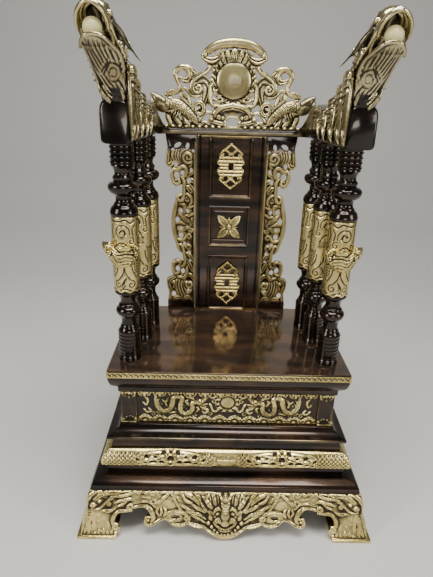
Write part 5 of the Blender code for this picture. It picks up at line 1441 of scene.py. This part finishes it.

# Dragon heads
# Each arm ends in a rearing dragon: a hooded mouth thrown open, a long bearded jaw and a swept horn.
# Down the arm's inner face hangs a mane of claw-like locks; all of it is cast brass, polished outside. The
# inside of the open mouth is painted shade, in the smoked finish.


class Clay:
    """A block of modelling, in millimetres: how far each point of a grid lies outside it."""

    def __init__(self, low, high, step):
        self.step, self.low = step, np.array(low, float)
        self.axes = [np.arange(a, b + step, step) for a, b in zip(low, high)]
        self.field = np.full([len(a) for a in self.axes], 12.0, np.float32)
        self.dark = np.zeros(self.field.shape, np.float32)

    def window(self, places, reach):
        """The part of the block round some places, and its points across, along and up."""
        part, grids = [], []
        for axis, grid in enumerate(self.axes):
            a = max(np.searchsorted(grid, places[:, axis].min() - reach) - 1, 0)
            b = min(np.searchsorted(grid, places[:, axis].max() + reach) + 1, len(grid))
            part.append(slice(a, b))
            shape = [1, 1, 1]
            shape[axis] = b - a
            grids.append(grid[a:b].reshape(shape).astype(np.float32))
        return tuple(part), grids

    def join(self, part, field, soft=1.5):
        old = self.field[part]
        blend = np.clip(0.5 + 0.5 * (old - field) / soft, 0, 1)
        self.field[part] = old * (1 - blend) + field * blend - soft * blend * (1 - blend)

    def cut(self, part, field, soft=1.0):
        old, field = self.field[part], -field
        blend = np.clip(0.5 - 0.5 * (old - field) / soft, 0, 1)
        self.field[part] = old * (1 - blend) + field * blend + soft * blend * (1 - blend)

    def egg(self, centre, radii, lean=0.0, soft=2.0, carve=False, dark=False):
        """An ellipsoid, leaning back from the viewer by some radians."""
        part, (x, y, z) = self.window(np.array([centre], float), max(radii) + 5)
        x, y, z = x - centre[0], y - centre[1], z - centre[2]
        y, z = y * cos(lean) + z * sin(lean), z * cos(lean) - y * sin(lean)
        k0 = np.sqrt((x / radii[0]) ** 2 + (y / radii[1]) ** 2 + (z / radii[2]) ** 2) + 1e-4
        k1 = np.sqrt((x / radii[0] ** 2) ** 2 + (y / radii[1] ** 2) ** 2 + (z / radii[2] ** 2) ** 2) + 1e-4
        field = k0 * (k0 - 1) / k1
        (self.cut if carve else self.join)(part, field, soft)
        if dark:
            self.dark[part] = np.maximum(self.dark[part], np.clip(0.8 - field / 2.0, 0, 1))

    def chain(self, ovals, soft=3.0, thin=6.0):
        """A body through ovals of (x, y, z, half width, half depth, lean), filled in between them."""
        line = flowing([(*o[:5], o[5] + 10) for o in ovals], 2.4)
        for x, y, z, half_width, half_depth, lean in line:
            self.egg((x, y, z), (half_width, half_depth, thin), lean - 10, soft)

    def stem(self, path, soft=1.2, flat=(1, 1, 1), vein=0.0, dark=False):
        """A swelling strand along (x, y, z, radius), flattened along some axis and perhaps veined."""
        line = flowing(path, 1.8)
        part, (x, y, z) = self.window(line, line[:, 3].max() + 4)
        best = np.full(np.broadcast_shapes(x.shape, y.shape, z.shape), 99.0, np.float32)
        swell = np.zeros_like(best)
        for (ax, ay, az, ar), (bx, by, bz, br) in zip(line, line[1:]):
            dx, dy, dz = bx - ax, by - ay, bz - az
            length = dx * dx + dy * dy + dz * dz + 1e-6
            t = np.clip(((x - ax) * dx + (y - ay) * dy + (z - az) * dz) / length, 0, 1)
            gx, gy, gz = x - ax - t * dx, y - ay - t * dy, z - az - t * dz
            away = np.sqrt((gx / flat[0]) ** 2 + (gy / flat[1]) ** 2 + (gz / flat[2]) ** 2)
            radius = ar + t * (br - ar)
            near = away - radius < best
            best = np.where(near, away - radius, best)
            if vein:
                across = gy if flat[0] < 1 else gx
                swell = np.where(near, vein * radius * (1 - np.cos(4 * pi * across / radius)), swell)
        self.join(part, (best + swell) * min(flat), soft)
        near = np.clip((1.3 if dark else 0.8) - best / 1.5, 0, 1)
        self.dark[part] = np.maximum(self.dark[part], near) if dark else self.dark[part] * (1 - near)

    def chase(self, path, depth, behind):
        """A line cut in from the front along (x, z, half width), or raised where its depth is negative."""
        line = flowing(path, 1.5)
        part, (x, _, z) = self.window(np.insert(line[:, :2], 1, 0, axis=1), 5)
        part, y = (part[0], slice(None), part[2]), self.axes[1][None, :, None]
        away = np.full((x.shape[0], 1, z.shape[2]), 99.0)
        for (ax, az, ar), (bx, bz, br) in zip(line, line[1:]):
            dx, dz = bx - ax, bz - az
            t = np.clip(((x - ax) * dx + (z - az) * dz) / (dx * dx + dz * dz + 1e-6), 0, 1)
            away = np.minimum(away, np.hypot(x - ax - t * dx, z - az - t * dz) / (ar + t * (br - ar)))
        self.field[part] += depth * np.exp(-away ** 2) * np.clip((behind(z) - y) / 2, 0, 1)


block_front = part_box("arm_rail")[0][1] / MM
arm_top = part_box("arm_rail")[1][2] / MM
DRAGON_PLACE = (167.5, block_front, arm_top)
SKULL = [(0, 30, -6, 20.5, 24, 0), (0, 28, 2, 20.5, 25, 0), (2, 25, 20, 21.5, 25.5, 0.25),
         (6.5, 18, 46, 22, 24, 0.5), (12, 7, 70, 22.5, 23, 0.7), (16.5, -6, 90, 22, 20, 0.9),
         (18, -17, 102, 17.5, 14, 1.1)]
JAW = [(1, 5.5, -2, 15, 4.5, 0.3), (2.5, 0, 20, 19, 7, 0.45), (5.5, -13, 44, 21.5, 7.5, 0.6),
       (11.5, -29, 62, 19.5, 6.5, 0.7), (15.3, -38, 70, 13.5, 4.5, 0.8)]


def jaw_middle(z):
    return np.interp(z, [o[2] for o in JAW], [o[1] for o in JAW])


dragon = Clay((-47, -50, -56), (41, 194, 121), 1.0)
dragon.chain(SKULL, 4.0, 9.0)
VAULT, VAULT_RADII, VAULT_LEAN = (16.8, -31, 82), (19.0, 26.0, 27.0), 0.62
# Painted shade: the inside of the open mouth and the throat are marked dark, so that they take the smoked
# finish.
dragon.egg(VAULT, VAULT_RADII, VAULT_LEAN, 1.5, carve=True, dark=True)
dragon.egg((12, -12, 64), (15, 14, 24), 0.62, 2.0, carve=True, dark=True)
dragon.chain(JAW, 2.5, 4.0)
in_front = dragon.axes[1][None, :, None] < jaw_middle(dragon.axes[2])[None, None, :] + 0.5
dragon.dark[:] = np.where(in_front & (dragon.axes[2] < 73)[None, None, :], 0, dragon.dark)
dragon.dark[:] = np.maximum(dragon.dark, np.clip((15 - dragon.axes[2]) / 3, 0, 1)[None, None, :])
for depth in (0.10, 0.36, 0.60, 0.80):
    ridge = []
    for turn in np.linspace(-105, 105, 11):
        bow = (1 - depth ** 2) ** 0.5
        across, along, up = (VAULT_RADII[0] * bow * sin(radians(turn)), VAULT_RADII[1] * depth,
                             VAULT_RADII[2] * bow * cos(radians(turn)) * (1 + 0.05 * cos(radians(5 * turn))))
        ridge.append((VAULT[0] + across, VAULT[1] + along * cos(VAULT_LEAN) - up * sin(VAULT_LEAN),
                      VAULT[2] + up * cos(VAULT_LEAN) + along * sin(VAULT_LEAN), 2.3))
    dragon.stem(ridge, 0.6)
dragon.stem([(-14, -6, 58, 1.4), (-9, -16, 70, 2.0), (-5, -24, 84, 2.4), (-1.5, -30, 95, 2.6),
             (6, -36, 103.5, 2.6),
             (17, -38.5, 106.4, 2.6), (28, -36, 103.5, 2.6), (35, -30, 95, 2.5), (37.0, -24, 84, 2.3),
             (34.5, -17, 72, 1.8)], 2.0)
JAW_RIM = [(34, 58), (29.5, 66.2), (22.7, 71.1), (14.8, 72.6), (6.4, 71.5), (0.6, 68.4), (-7.5, 61),
           (-13.5, 54.2), (-16.0, 46), (-17.2, 36)]
dragon.stem([(x, jaw_middle(z) - 4.6 * (1 - ((x - 7) / 30) ** 2), z, 2.1) for x, z in JAW_RIM], 1.2)
BEARD = [[(23.6, 66.3), (23.0, 57.4), (18.8, 46.3), (14.5, 36.2)],
         [(19.9, 66.4), (19.3, 57.5), (15.5, 48.7), (11.1, 39.7)],
         [(15.0, 66.5), (14.3, 58.8), (11.0, 51.0), (7.9, 42.1)],
         [(27.5, 62.9), (25.8, 52.9), (21.6, 41.7), (17.2, 32.7)],
         [(9.5, 65.5), (9.4, 58.5), (6.6, 51.5), (4.2, 45)],
         [(4.1, 63.5), (3.3, 55.7), (0.6, 49.0), (2.9, 42.2), (9.6, 34.1),
                                                             (12.3, 30.5)],
         [(-2, 58), (-3.5, 52), (-5.5, 46)], [(22.5, 30.0), (18.2, 20.0), (12.4, 9.0), (4.0, -1.0)],
         [(19.8, 30.3), (15.4, 21.2), (9.7, 12.0), (2.5, 3.9)],
         [(14.9, 29.3), (10.4, 21.3), (5.8, 13.3), (0.4, 6.3)],
         [(8.7, 28.3), (5.3, 21.5), (0.6, 15.7), (-1.7, 9.9)], [(25.5, 46), (21.5, 32), (17, 20), (10, 6)],
         [(-9, 22), (-12, 14), (-14, 5)], [(-5, 18), (-7, 10), (-8, 2)]]
dragon.stem([(14, 0, 24, 5), (12, -2.5, 12, 8.0), (8, -1.5, 2, 5.5), (5, 0, -7, 1.0)], 1.5, flat=(1, 0.5, 1))
dragon.stem([(-7, 2, 26, 4), (-11, 0, 14, 5.6), (-12.5, 1.5, 5, 3.6), (-13.6, 2.5, -2, 0.9)], 1.5,
            flat=(1, 0.5, 1))
dragon.egg((-3.5, jaw_middle(31) - 4.6, 31), (10.0, 4.6, 11.5), 0.5, 3.0)
for path in BEARD:
    for beside in (0, 2.3):
        line = [(x - beside, z - beside, 0.95 if 0 < k < len(path) - 1 else 0.6)
                for k, (x, z) in enumerate(path)]
        dragon.chase(line, 1.3, jaw_middle)
dragon.chase([(2.3, 30.8, 1.0), (5.1, 35.3, 1.2), (0.4, 41.7, 1.2), (-8.3, 40.8, 1.2), (-12.9, 32.3, 1.2),
              (-7.3, 21.8, 1.1), (0.3, 21.0, 1.0), (2, 25, 0.8), (-2, 28, 0.8)], 0.8, jaw_middle)
dragon.chase([(3.0, 27, 0.9), (-1, 36, 1.1), (-8, 35, 1.0), (-7, 27, 0.9), (-2, 26, 0.8)], 1.0, jaw_middle)
for x, z in ((-14.6, 45.5), (-15.6, 39.5), (-15.8, 33.5)):
    dragon.egg((x, jaw_middle(z) - 2.5, z), (2.2, 2.6, 2.8), 0.4, 0.8)
for centre, radii, soft, dark in (
        ((-10.5, -5, 64), (3.4, 4.4, 6.2), 1.0, False), ((-12, 2, 57), (2.6, 4.0, 3.2), 1.0, False),
        ((-15, 10, 56), (3.2, 4.0, 4.0), 1.0, True), ((-3.4, -16, 98), (3.6, 4.0, 4.0), 0.8, False),
        ((1.5, -12, 106), (3.8, 4.2, 3.6), 0.8, False), ((-13.5, -2, 61), (4.4, 6.5, 8.5), 0.8, False),
        ((-15.5, 2, 53), (3.6, 5.0, 5.0), 0.8, False)):
    dragon.egg(centre, radii, 0.3, soft, dark=dark)
dragon.stem([(-1, -14, 94, 1.8), (-7, -10, 87, 3.4), (-13, -6, 79, 4.4), (-18, -2, 71, 4.0),
             (-22, 4, 63.5, 3.0),
             (-26, 12, 58, 1.9), (-30, 18, 52, 1.7), (-35, 22, 46, 1.2)], 0.6, flat=(0.7, 1, 1), dark=True)
dragon.stem([(-17, 8, 56, 2.0), (-21, 10, 64, 2.6), (-21, 12, 72, 0.9)], 0.8, flat=(0.7, 1, 1))
for k in range(9):
    t = k / 8
    dragon.egg((-14 - 7.5 * t, 30 + 26 * t, 46 - 38 * t), (3.0, 4.6, 4.0), 0.5, 1.2)
for side_x, turn in ((-22.5, -1), (23.5, 1)):
    for row in range(8):
        for k in range(4):
            z, y = -2 + 8.0 * row, 16 + 8.4 * k + (4.2 if row % 2 else 0) - row * 3.0
            x = side_x + 0.13 * z + 0.8 * turn
            dragon.stem([(x, y - 4, z + 3, 0.8), (x + turn, y, z - 1.6, 1.2), (x, y + 4, z + 3, 0.8)], 0.6)
for y, head, thick in ((6, 42, 12.5), (36, 26, 13.5), (70, 8, 12.5), (104, -8, 11.0), (134, -22, 9.0)):
    inner = np.interp(y, (0, 16, 40, 63, 115, 190), (-21.5, -22, -21.8, -24, -29.5, -33))
    fall = (head + 52) / 94
    dragon.stem([(inner + 3, y + 8, head, thick * 0.45),
                 (inner + 1.0, y + 5, head - 12 * fall, thick * 0.95),
                 (inner - 0.4, y + 2, head - 34 * fall, thick),
                 (inner - 1.2, y - 1, head - 56 * fall, thick * 0.8),
                 (inner - 1.0, y - 4, -43, thick * 0.46), (inner, y - 7, -53, 0.9)], 1.0, flat=(0.5, 1, 1),
                 vein=0.06)
    for row in range(5):
        z, half = head - (6 + 9.5 * row) * fall, thick * (0.95 - 0.07 * row)
        dragon.egg((inner - 2.6, y + 3.5, z), (6.2 - 0.5 * row, half, 6.4 * fall + 1.2), 0.0, 0.5)
        dragon.stem([(inner - 5.0, y + 5 - half, z - 0.5, 0.9), (inner - 8.6, y + 3.0, z - 6.0 * fall, 1.5),
                     (inner - 5.0, y + 2 + half, z - 0.5, 0.9)], 0.5)
    dragon.stem([(inner - 1, y + 1, -26, thick * 0.5), (inner - 3.4, y - 2, -36, thick * 0.44),
                 (inner - 2.4, y - 6, -47, thick * 0.26), (inner - 0.6, y - 8, -54, 0.9)], 0.6,
                 flat=(0.8, 1, 1))
for y in range(10, 60, 9):
    crown = 34 * (1 - y / 64) ** 1.3
    dragon.stem([(-12, y + 12, crown * 0.8, 3.0), (-16, y + 6, crown + 6, 4.0), (-20, y, crown + 2, 3.6),
                 (-22, y - 5, crown - 8, 1.4)], 1.2, flat=(0.8, 1, 1), vein=0.07)
dragon.field[:] = blurred(dragon.field, 1) * 0.5 + dragon.field * 0.5
bottom = dragon.axes[2][None, None, :]
dragon.field = np.maximum(dragon.field, -55.0 - bottom).astype(np.float32)
polished_dragon = metal_finish("dragon_brass", brass_cover="marked", brown=(0.030, 0.022, 0.015),
                               bright=(0.68, 0.59, 0.33), dull=(0.40, 0.32, 0.15),
                               polish=0.18, grime_start=0.462)
for side in ("right", "left"):
    flip = 1 if side == "right" else -1

    def to_the_arm(x, y, z):
        return flip * (x + DRAGON_PLACE[0]), y + DRAGON_PLACE[1], z + DRAGON_PLACE[2]
    piece = cast(f"dragon_{side}_casting", dragon.field, dragon.low, (dragon.step,) * 3, 82000,
                 bend=to_the_arm)
    if flip < 0:
        piece.data.flip_normals()
    x, y, z = spots(piece).T
    local = np.stack([flip * x - DRAGON_PLACE[0], y - DRAGON_PLACE[1], z - DRAGON_PLACE[2]], 1)
    behind_jaw = local[:, 1] > jaw_middle(local[:, 2]) + 2
    deep = (np.linalg.norm((local - VAULT) / VAULT_RADII, axis=1) < 1.3) * behind_jaw
    # Painted shade comes from the dark mark inside the mouth; the horn ribbon and the arm below are marked
    # dark too, as smoked brass, and a knob by the cheek is marked dark as well.
    shade = np.clip(sampled(dragon.dark, (local - dragon.low) / dragon.step), 0, 1)
    marked(piece, "hollow", marks_of(piece, "hollow") - 0.30 * deep * (1 - shade))
    under_jaw = (local[:, 1] < jaw_middle(local[:, 2]) + 6) * (local[:, 2] < 68) * 0.30
    marked(piece, "gilt_and_painted_light", 1 - under_jaw - 0.84 * shade)
    finished(piece, polished_dragon, "polished_brass", f"dragon_{side}")

# Pearls
# A cream pearl, ground from shell paste and glazed, rests on the lip of each dragon's jaw.
# The two are nearly round, and a little worn and uneven.

pearl_glaze = bpy.data.materials.new("pearl_glaze")
pearl_glaze.use_nodes = True
glaze_shader = pearl_glaze.node_tree.nodes["Principled BSDF"]
glaze = Wire(pearl_glaze.node_tree)
glaze_place = glaze.node("ShaderNodeTexCoord", output=3)
mottle = glaze.node("ShaderNodeTexNoise", None, {"Vector": glaze_place, "Scale": 60.0, "Detail": 4.0})
glaze.plug(glaze_shader.inputs["Base Color"], mottle.blend((0.66, 0.59, 0.27), (0.76, 0.71, 0.38)))
glaze.plug(glaze_shader.inputs["Roughness"], 0.32 + mottle * 0.2)
glaze_shader.inputs["Coat Weight"].default_value = 0.3
glaze_shader.inputs["Coat Roughness"].default_value = 0.15
for side in ("left", "right"):
    (x0, y0, z0), (x1, y1, z1) = (np.array(c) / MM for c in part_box(f"pearl_{side}"))
    radius = (z1 - z0) / 2
    rings = []
    for i in range(1, 24):
        a = -pi / 2 + pi * i / 24
        rings.append([((x0 + x1) / 2 + radius * cos(a) * cos(b) * (1 + 0.012 * sin(3 * b + a)),
                       (y0 + y1) / 2 + radius * cos(a) * sin(b) * (1 - 0.015 * cos(2 * b + 2 * a)),
                       (z0 + z1) / 2 + 0.985 * radius * sin(a)) for b in 2 * pi * np.arange(40) / 40])
    pearl = lofted(f"pearl_{side}_ground", rings, sharp=90)
    finished(pearl, pearl_glaze, "pearl_cream", f"pearl_{side}")

# Crest
# One pierced brass casting on the back rail: an arched serpent with curled ends over a bright disc,
# carps with scaled bodies at both sides, and scrolling clouds and leaves between them.

crest_low, crest_high = (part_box("crest")[k][2] / MM for k in (0, 1))
crest = Relief(np.arange(-150, 150.8, 0.8), np.arange(crest_low - 0.8, crest_high + 1.6, 0.8))
Relief.scale = 4.2
DISC_HEIGHT, DISC_REACH = 744.7, 31.0


def scrolls(cut, lift, swell, *paths):
    for path in paths:
        crest.stem([(x, z, 0.5 + 1.16 * r) for x, z, r in path], cut, lift, swell)


scrolls("round", 0.8, 0.62,
        [(121, 720, 3.2), (114, 721, 3.4), (105, 724, 3.6), (98, 728, 3.1), (97.5, 736, 2.8),
         (102, 745, 3.0), (104.6, 754, 3.6), (101, 761, 3.9), (93, 765, 4.1), (85, 763, 4.4),
         (79.5, 755, 4.8), (81, 747, 4.2)],
        [(74, 752, 1.2), (70, 756, 1.8), (76, 762, 2.4), (84, 768, 1.4)])
scrolls("groove", 0.8, 0.9,
        [(121, 720, 1.2), (117, 724, 2.0), (109, 727, 1.4)],
        [(97, 749, 1.4), (92, 745.5, 2.8), (85, 744, 4.6), (80, 748, 3.4)])
scrolls("round", 0.6, 0.8,
        [(94, 728, 2.0), (87, 730, 2.3), (81, 725, 2.5), (74, 719, 2.8), (64, 718, 2.8), (58, 722, 1.8)],
        [(101, 740, 1.2), (96, 733, 1.8), (92, 726, 1.6)],
        [(95, 723, 2.3), (94, 715, 3), (87, 708, 3.6), (78, 701, 3.6), (72, 692, 3.4), (68, 684, 2)],
        [(81, 716, 2.1), (79, 706, 2.8)], [(90, 722, 1.0), (86, 716, 1.6)],
        [(37, 714, 1.4), (30, 711, 2.3), (22, 709.5, 2.3), (17, 713, 1.8)],
        [(36, 733, 1.8), (31, 724, 2.3), (25, 717.5, 2.3), (17, 714, 1.8)])
scrolls("hollow", 1.6, 0.9,
        [(70, 740, 3.2), (63, 746, 4.0), (54, 748.5, 4.0), (45, 743, 3.0), (43, 737, 1.2)],
        [(61, 738, 2.4), (53, 739, 3.4), (47.5, 731, 3.4), (49, 720, 3.0), (52, 709, 2.2), (54, 702, 1.0)],
        [(57, 731, 2.2), (55, 721, 2.4), (57, 711, 1.8), (61, 704, 1)])
scrolls("round", 1.4, 0.75,
        [(37, 741, 2.6), (42, 734, 3.1), (42.5, 723, 3.1), (42, 712, 3.1), (37, 703.6, 3.1),
         (27, 700.6, 3.1), (15, 703, 2.8), (8, 707, 1.4)],
        [(54, 784, 2.1), (47, 776, 2.9), (42.5, 768, 3.1), (48, 760, 3.3), (57, 754.5, 3.6), (66, 749, 3.7),
         (72, 742, 3.9), (75, 734, 3.9), (74, 726, 3.4), (69, 721, 2.4)])
crest.stem(volute((64, 731), 9.6, 1.8, 60, -470, 3.3, 0.8), "round", 2.2, 0.95)
scrolls("groove", 1.6, 1.0,
        [(75, 695, 2.2), (71, 703, 2.6), (62, 707.5, 2.7), (54.5, 703.5, 2.7), (53, 694, 2.6),
         (58.5, 688, 2.7), (66.5, 690, 2.4), (66.5, 696, 1.9), (61, 699, 1.6)])
scrolls("round", 0.0, 0.9,
        [(61, 677, 2.8), (53, 687, 2.5), (45, 691, 2.7), (36, 688, 2)],
        [(72, 678, 2.2), (64, 670, 2.4), (56, 668, 2)], [(118, 690, 4.0), (118, 680, 4.4), (113, 668, 3.6)],
        [(106, 690, 4.4), (104, 680, 4.6), (96, 669, 3.6)], [(89, 684, 4.0), (86, 674, 4.6), (80, 667, 3.4)],
        [(112, 684, 1.2), (108, 676, 1.8), (110, 668, 1.4)],
        [(46, 671, 2.6), (30, 668, 2.6), (12, 668, 2.6), (0, 668, 2.6)])
scrolls("scaled", 1.6, 0.74,
        [(116, 704, 8.6), (108, 703.4, 9.2), (97, 700, 8.9), (86, 693, 8.0), (76, 684.4, 6.8),
         (69, 676.5, 4.6), (65, 672, 2)])
for k in range(4):
    crest.stem([(108 - 4.2 * k, 697 - 2.4 * k, 0.8), (109 - 4.2 * k, 691 - 2.4 * k, 1.4),
                (113 - 4.4 * k, 687 - 2.4 * k, 0.8)],
               "round", 5.4, 1.3)
scrolls("round", 1.0, 0.62, [(146, 716, 5.4), (139, 708, 10.6), (130, 702, 11.0), (120, 700, 9.4),
                             (111, 701, 6)])
crest.stem([(122, 691, 1.4), (112, 692, 2.2), (104, 697, 2.2), (107, 706, 1.6)], "groove", 5.6, 1.0)
crest.stem(volute((116, 709), 5.9, 1.2, 200, -480, 2.5, 0.8), "round", 5.0, 0.9)
crest.boss((51.5, 785.5), 6.2, 4.6, 2.0, ring=0.62)
scrolls("groove", 1.6, 0.95,
        [(54, 781, 3.2), (46, 777.6, 4.8), (37, 777.5, 5.0), (29, 781.4, 3.6), (25, 787.5, 3.0),
         (20, 794, 1.6)],
        [(32, 789, 1.4), (28, 784, 2.6), (24, 778, 2.6), (21, 772, 1.4)],
        [(42, 771, 1.4), (36, 769, 2.4), (31, 773, 1.8)])
crest.boss((0, 780), (27, 16), 1.8, 0.2)
crest.boss((0, DISC_HEIGHT), (41, 42), 1.6, 0.0)
scrolls("veined", 1.6, 0.9,
        [(0, 776, 5.6), (0, 786, 6.2), (0, 797, 2.6), (0, 801.5, 0.8)],
        [(8, 775, 4.2), (11, 784, 4.6), (13, 791, 2.6), (14.5, 797, 0.8)],
        [(16, 774, 3.4), (19.5, 780, 4.2), (22, 787, 2.6), (24, 792, 0.8)],
        [(23, 771, 2.4), (27, 775, 3.0), (30, 780, 0.8)])
scrolls("round", 1.2, 0.72,
        [(0, 806.2, 6.8), (14, 805.4, 6.6), (29, 802.6, 6.2), (40, 797.4, 5.8), (48.5, 791.4, 5.0),
         (54.4, 785, 3.6)])
for k, angle in enumerate(range(-84, 85, 12)):
    a = radians(angle)
    crest.boss((39.2 * cos(a), DISC_HEIGHT + 39.2 * sin(a)), 3.3, 3.0, 1.0, ring=0.6 if k % 2 else 0.0)
for angle, size in ((-70, 7.5), (-50, 8), (-32, 7), (-14, 5), (6, 5), (26, 6), (44, 6)):
    a, leaf = radians(angle), []
    for share, lean, half in ((0, 0, 2.4), (0.7, 0.07, 2.6), (1.5, -0.04, 0.8)):
        reach = 32.5 + size * share
        leaf.append((reach * cos(a + lean), DISC_HEIGHT + reach * sin(a + lean), half))
    crest.stem(leaf, "veined", 1.0, 0.9)
crest.boss((39, 679), (6.2, 5.6), 4.2, 1.6, ring=0.6)
scrolls("groove", 1.8, 0.8, [(44, 672, 1.4), (38, 675, 2.4), (28, 673, 3.0), (16, 671, 2.6), (6, 672, 1.4)])
scrolls("round", 1.6, 0.8,
        [(0, 704.4, 4.0), (-2, 702, 5.2), (11, 700.4, 5.4), (25, 695.6, 5.4), (32, 688, 4.8),
         (25, 682.6, 3.6), (17, 681.6, 2.8)])
crest.boss((0, 676), (39, 22), 3.4, 0.4)
for x, z, reach in ((52, 670, (12, 6)), (70, 669, (10, 5)), (90, 670, (12, 7)), (108, 671, (10, 7)),
                    (58, 699, (7, 9)), (86, 712, (7, 8)), (48, 712, (8, 10))):
    crest.boss((x, z), reach, 1.6, 0.0)
for k in range(9):
    crest.boss((24 + 12.2 * k, 665.5), (4.4, 3.2), 3.4, 2.2)
for path in ([(3, 699, 1.0), (16, 696, 1.2), (27, 688, 1.2), (32, 678, 1.0)],
             [(14, 690, 0.9), (20, 684, 1.0), (21, 677, 0.9)],
             [(0, 694, 0.9), (8, 692.5, 1.0), (14, 688, 0.9)]):
    crest.engrave(path, 1.2)
for x, z in ((9, 707), (20, 703.6), (30, 698), (38, 690)):
    crest.boss((x, z), (4.6, 3.4), 3.0, 1.4, -30, ring=0.55)
crest.both_sides()
crest.sink((0, 673), (10.8, 9.5))
shelf = np.minimum(120 - np.abs(crest.across)[:, None], (667.0 - crest.up)[None])
crest.edge = np.maximum(crest.edge, np.minimum(shelf, 6.0))
crest.height = np.where((shelf > 0) & (crest.height < 1.5), 1.5, crest.height)
disc = (crest.across[:, None] - 0.3) ** 2 + (crest.up[None] - DISC_HEIGHT) ** 2
disc_edge = DISC_REACH - np.sqrt(disc)
dome = 3.2 + 6.6 * np.sqrt(np.clip(1 - disc / 31.4 ** 2, 0, 1))
setting = np.where(disc_edge > -7, np.maximum(crest.height, 0.6), crest.height)
crest.height = np.where(disc_edge > 0, dome, setting)
crest.edge = np.maximum(crest.edge, np.minimum(disc_edge + 6.0, 9))
crest.edge = np.minimum(crest.edge, (crest.up - crest_low - 0.1)[None])
crest_casting = openwork("crest_casting", crest, back_line - 1.2, back_line + 2.0, 106000, step=1.0,
                         back_share=0.35)
x, y, z = spots(crest_casting).T
marked(crest_casting, "gilt_and_painted_light", 1 - 0.72 * np.clip((np.abs(x) - 121) / 8, 0, 1) * (z < 722))
shaded_brass = metal_finish("shaded_brass", brass_cover="marked", bright=(0.70, 0.60, 0.29),
                            dull=(0.42, 0.33, 0.13),
                            grime_start=0.452)
finished(crest_casting, shaded_brass, "polished_brass", "crest")

# Floor, light and camera
# A pale floor that rises behind the throne, and large soft lamps as in a shop's photograph.
# The camera stands level with the crest, close in front, and looks down on the seat.

floor_mesh = bpy.data.meshes.new("floor")
bend_y = [-6.0, -1.0, 0.0, 1.2, 1.8, 2.2, 2.4, 2.5, 2.5]
bend_z = [0.0, 0.0, 0.0, 0.0, 0.08, 0.3, 0.65, 1.2, 5.0]
floor_mesh.from_pydata([(x, y, z - 0.0004) for y, z in zip(bend_y, bend_z) for x in (-6.0, 6.0)], [],
                       [(2 * k, 2 * k + 1, 2 * k + 3, 2 * k + 2) for k in range(len(bend_y) - 1)])
floor_mesh.shade_smooth()
floor = bpy.data.objects.new("floor", floor_mesh)
bpy.context.scene.collection.objects.link(floor)
paper = bpy.data.materials.new("pale_paper")
paper.use_nodes = True
paper_wire = Wire(paper.node_tree)
paper_shader = paper.node_tree.nodes["Principled BSDF"]
paper_place = paper_wire.node("ShaderNodeTexCoord", output=3)
paper_tone = paper_wire.node("ShaderNodeTexNoise", None,
                             {"Vector": paper_place, "Scale": 1.5, "Detail": 2.0})
paper_wire.plug(paper_shader.inputs["Base Color"],
                paper_tone.blend((0.60, 0.595, 0.58), (0.64, 0.635, 0.62)))
paper_shader.inputs["Roughness"].default_value = 0.9
floor.data.materials.append(paper)


LAMP_COLOUR = (1.0, 0.97, 0.92)


def lamp(name, place, target, size, power):
    light = bpy.data.lights.new(name, "AREA")
    light.shape, light.size, light.size_y, light.energy, light.color = "RECTANGLE", *size, power, LAMP_COLOUR
    held = bpy.data.objects.new(name, light)
    held.matrix_world = Matrix.Translation(place) @ (Vector(target) - Vector(place)).to_track_quat(
        "-Z", "Y").to_matrix().to_4x4()
    bpy.context.scene.collection.objects.link(held)


lamp("overhead_softbox", (0.1, -0.5, 2.3), (0, 0, 0.4), (1.4, 0.9), 60)
lamp("left_window", (-1.9, -1.3, 1.3), (0, 0, 0.4), (0.7, 1.2), 29)
lamp("right_fill", (1.9, -1.2, 1.1), (0, 0, 0.4), (0.7, 1.1), 18)
lamp("front_fill", (0.2, -2.4, 0.9), (0, 0, 0.35), (0.9, 0.5), 12)
world = bpy.data.worlds.new("pale_room")
world.use_nodes = True
world.node_tree.nodes["Background"].inputs["Color"].default_value = (0.93, 0.94, 0.96, 1)
world.node_tree.nodes["Background"].inputs["Strength"].default_value = 0.10
bpy.context.scene.world = world

PITCH, YAW, ROLL = 0.3681, -0.0137, 0.0269
CAMERA_PLACE = (-0.0339, -0.8181, 0.7102)
ahead = Vector((-sin(YAW) * cos(PITCH), cos(YAW) * cos(PITCH), -sin(PITCH)))
level = Vector((cos(YAW), sin(YAW), 0))
above = level.cross(ahead)
right_hand = level * cos(ROLL) + above * sin(ROLL)
upward = above * cos(ROLL) - level * sin(ROLL)
lens = bpy.data.cameras.new("camera")
lens.sensor_fit, lens.sensor_height, lens.sensor_width, lens.lens = "AUTO", 36, 36, 30.28
lens.clip_start = 0.05
camera = bpy.data.objects.new("camera", lens)
camera.matrix_world = Matrix([
    *((*axes, shift) for axes, shift in zip(zip(right_hand, upward, -ahead), CAMERA_PLACE)),
    (0, 0, 0, 1)])
bpy.context.scene.collection.objects.link(camera)
bpy.context.scene.camera = camera
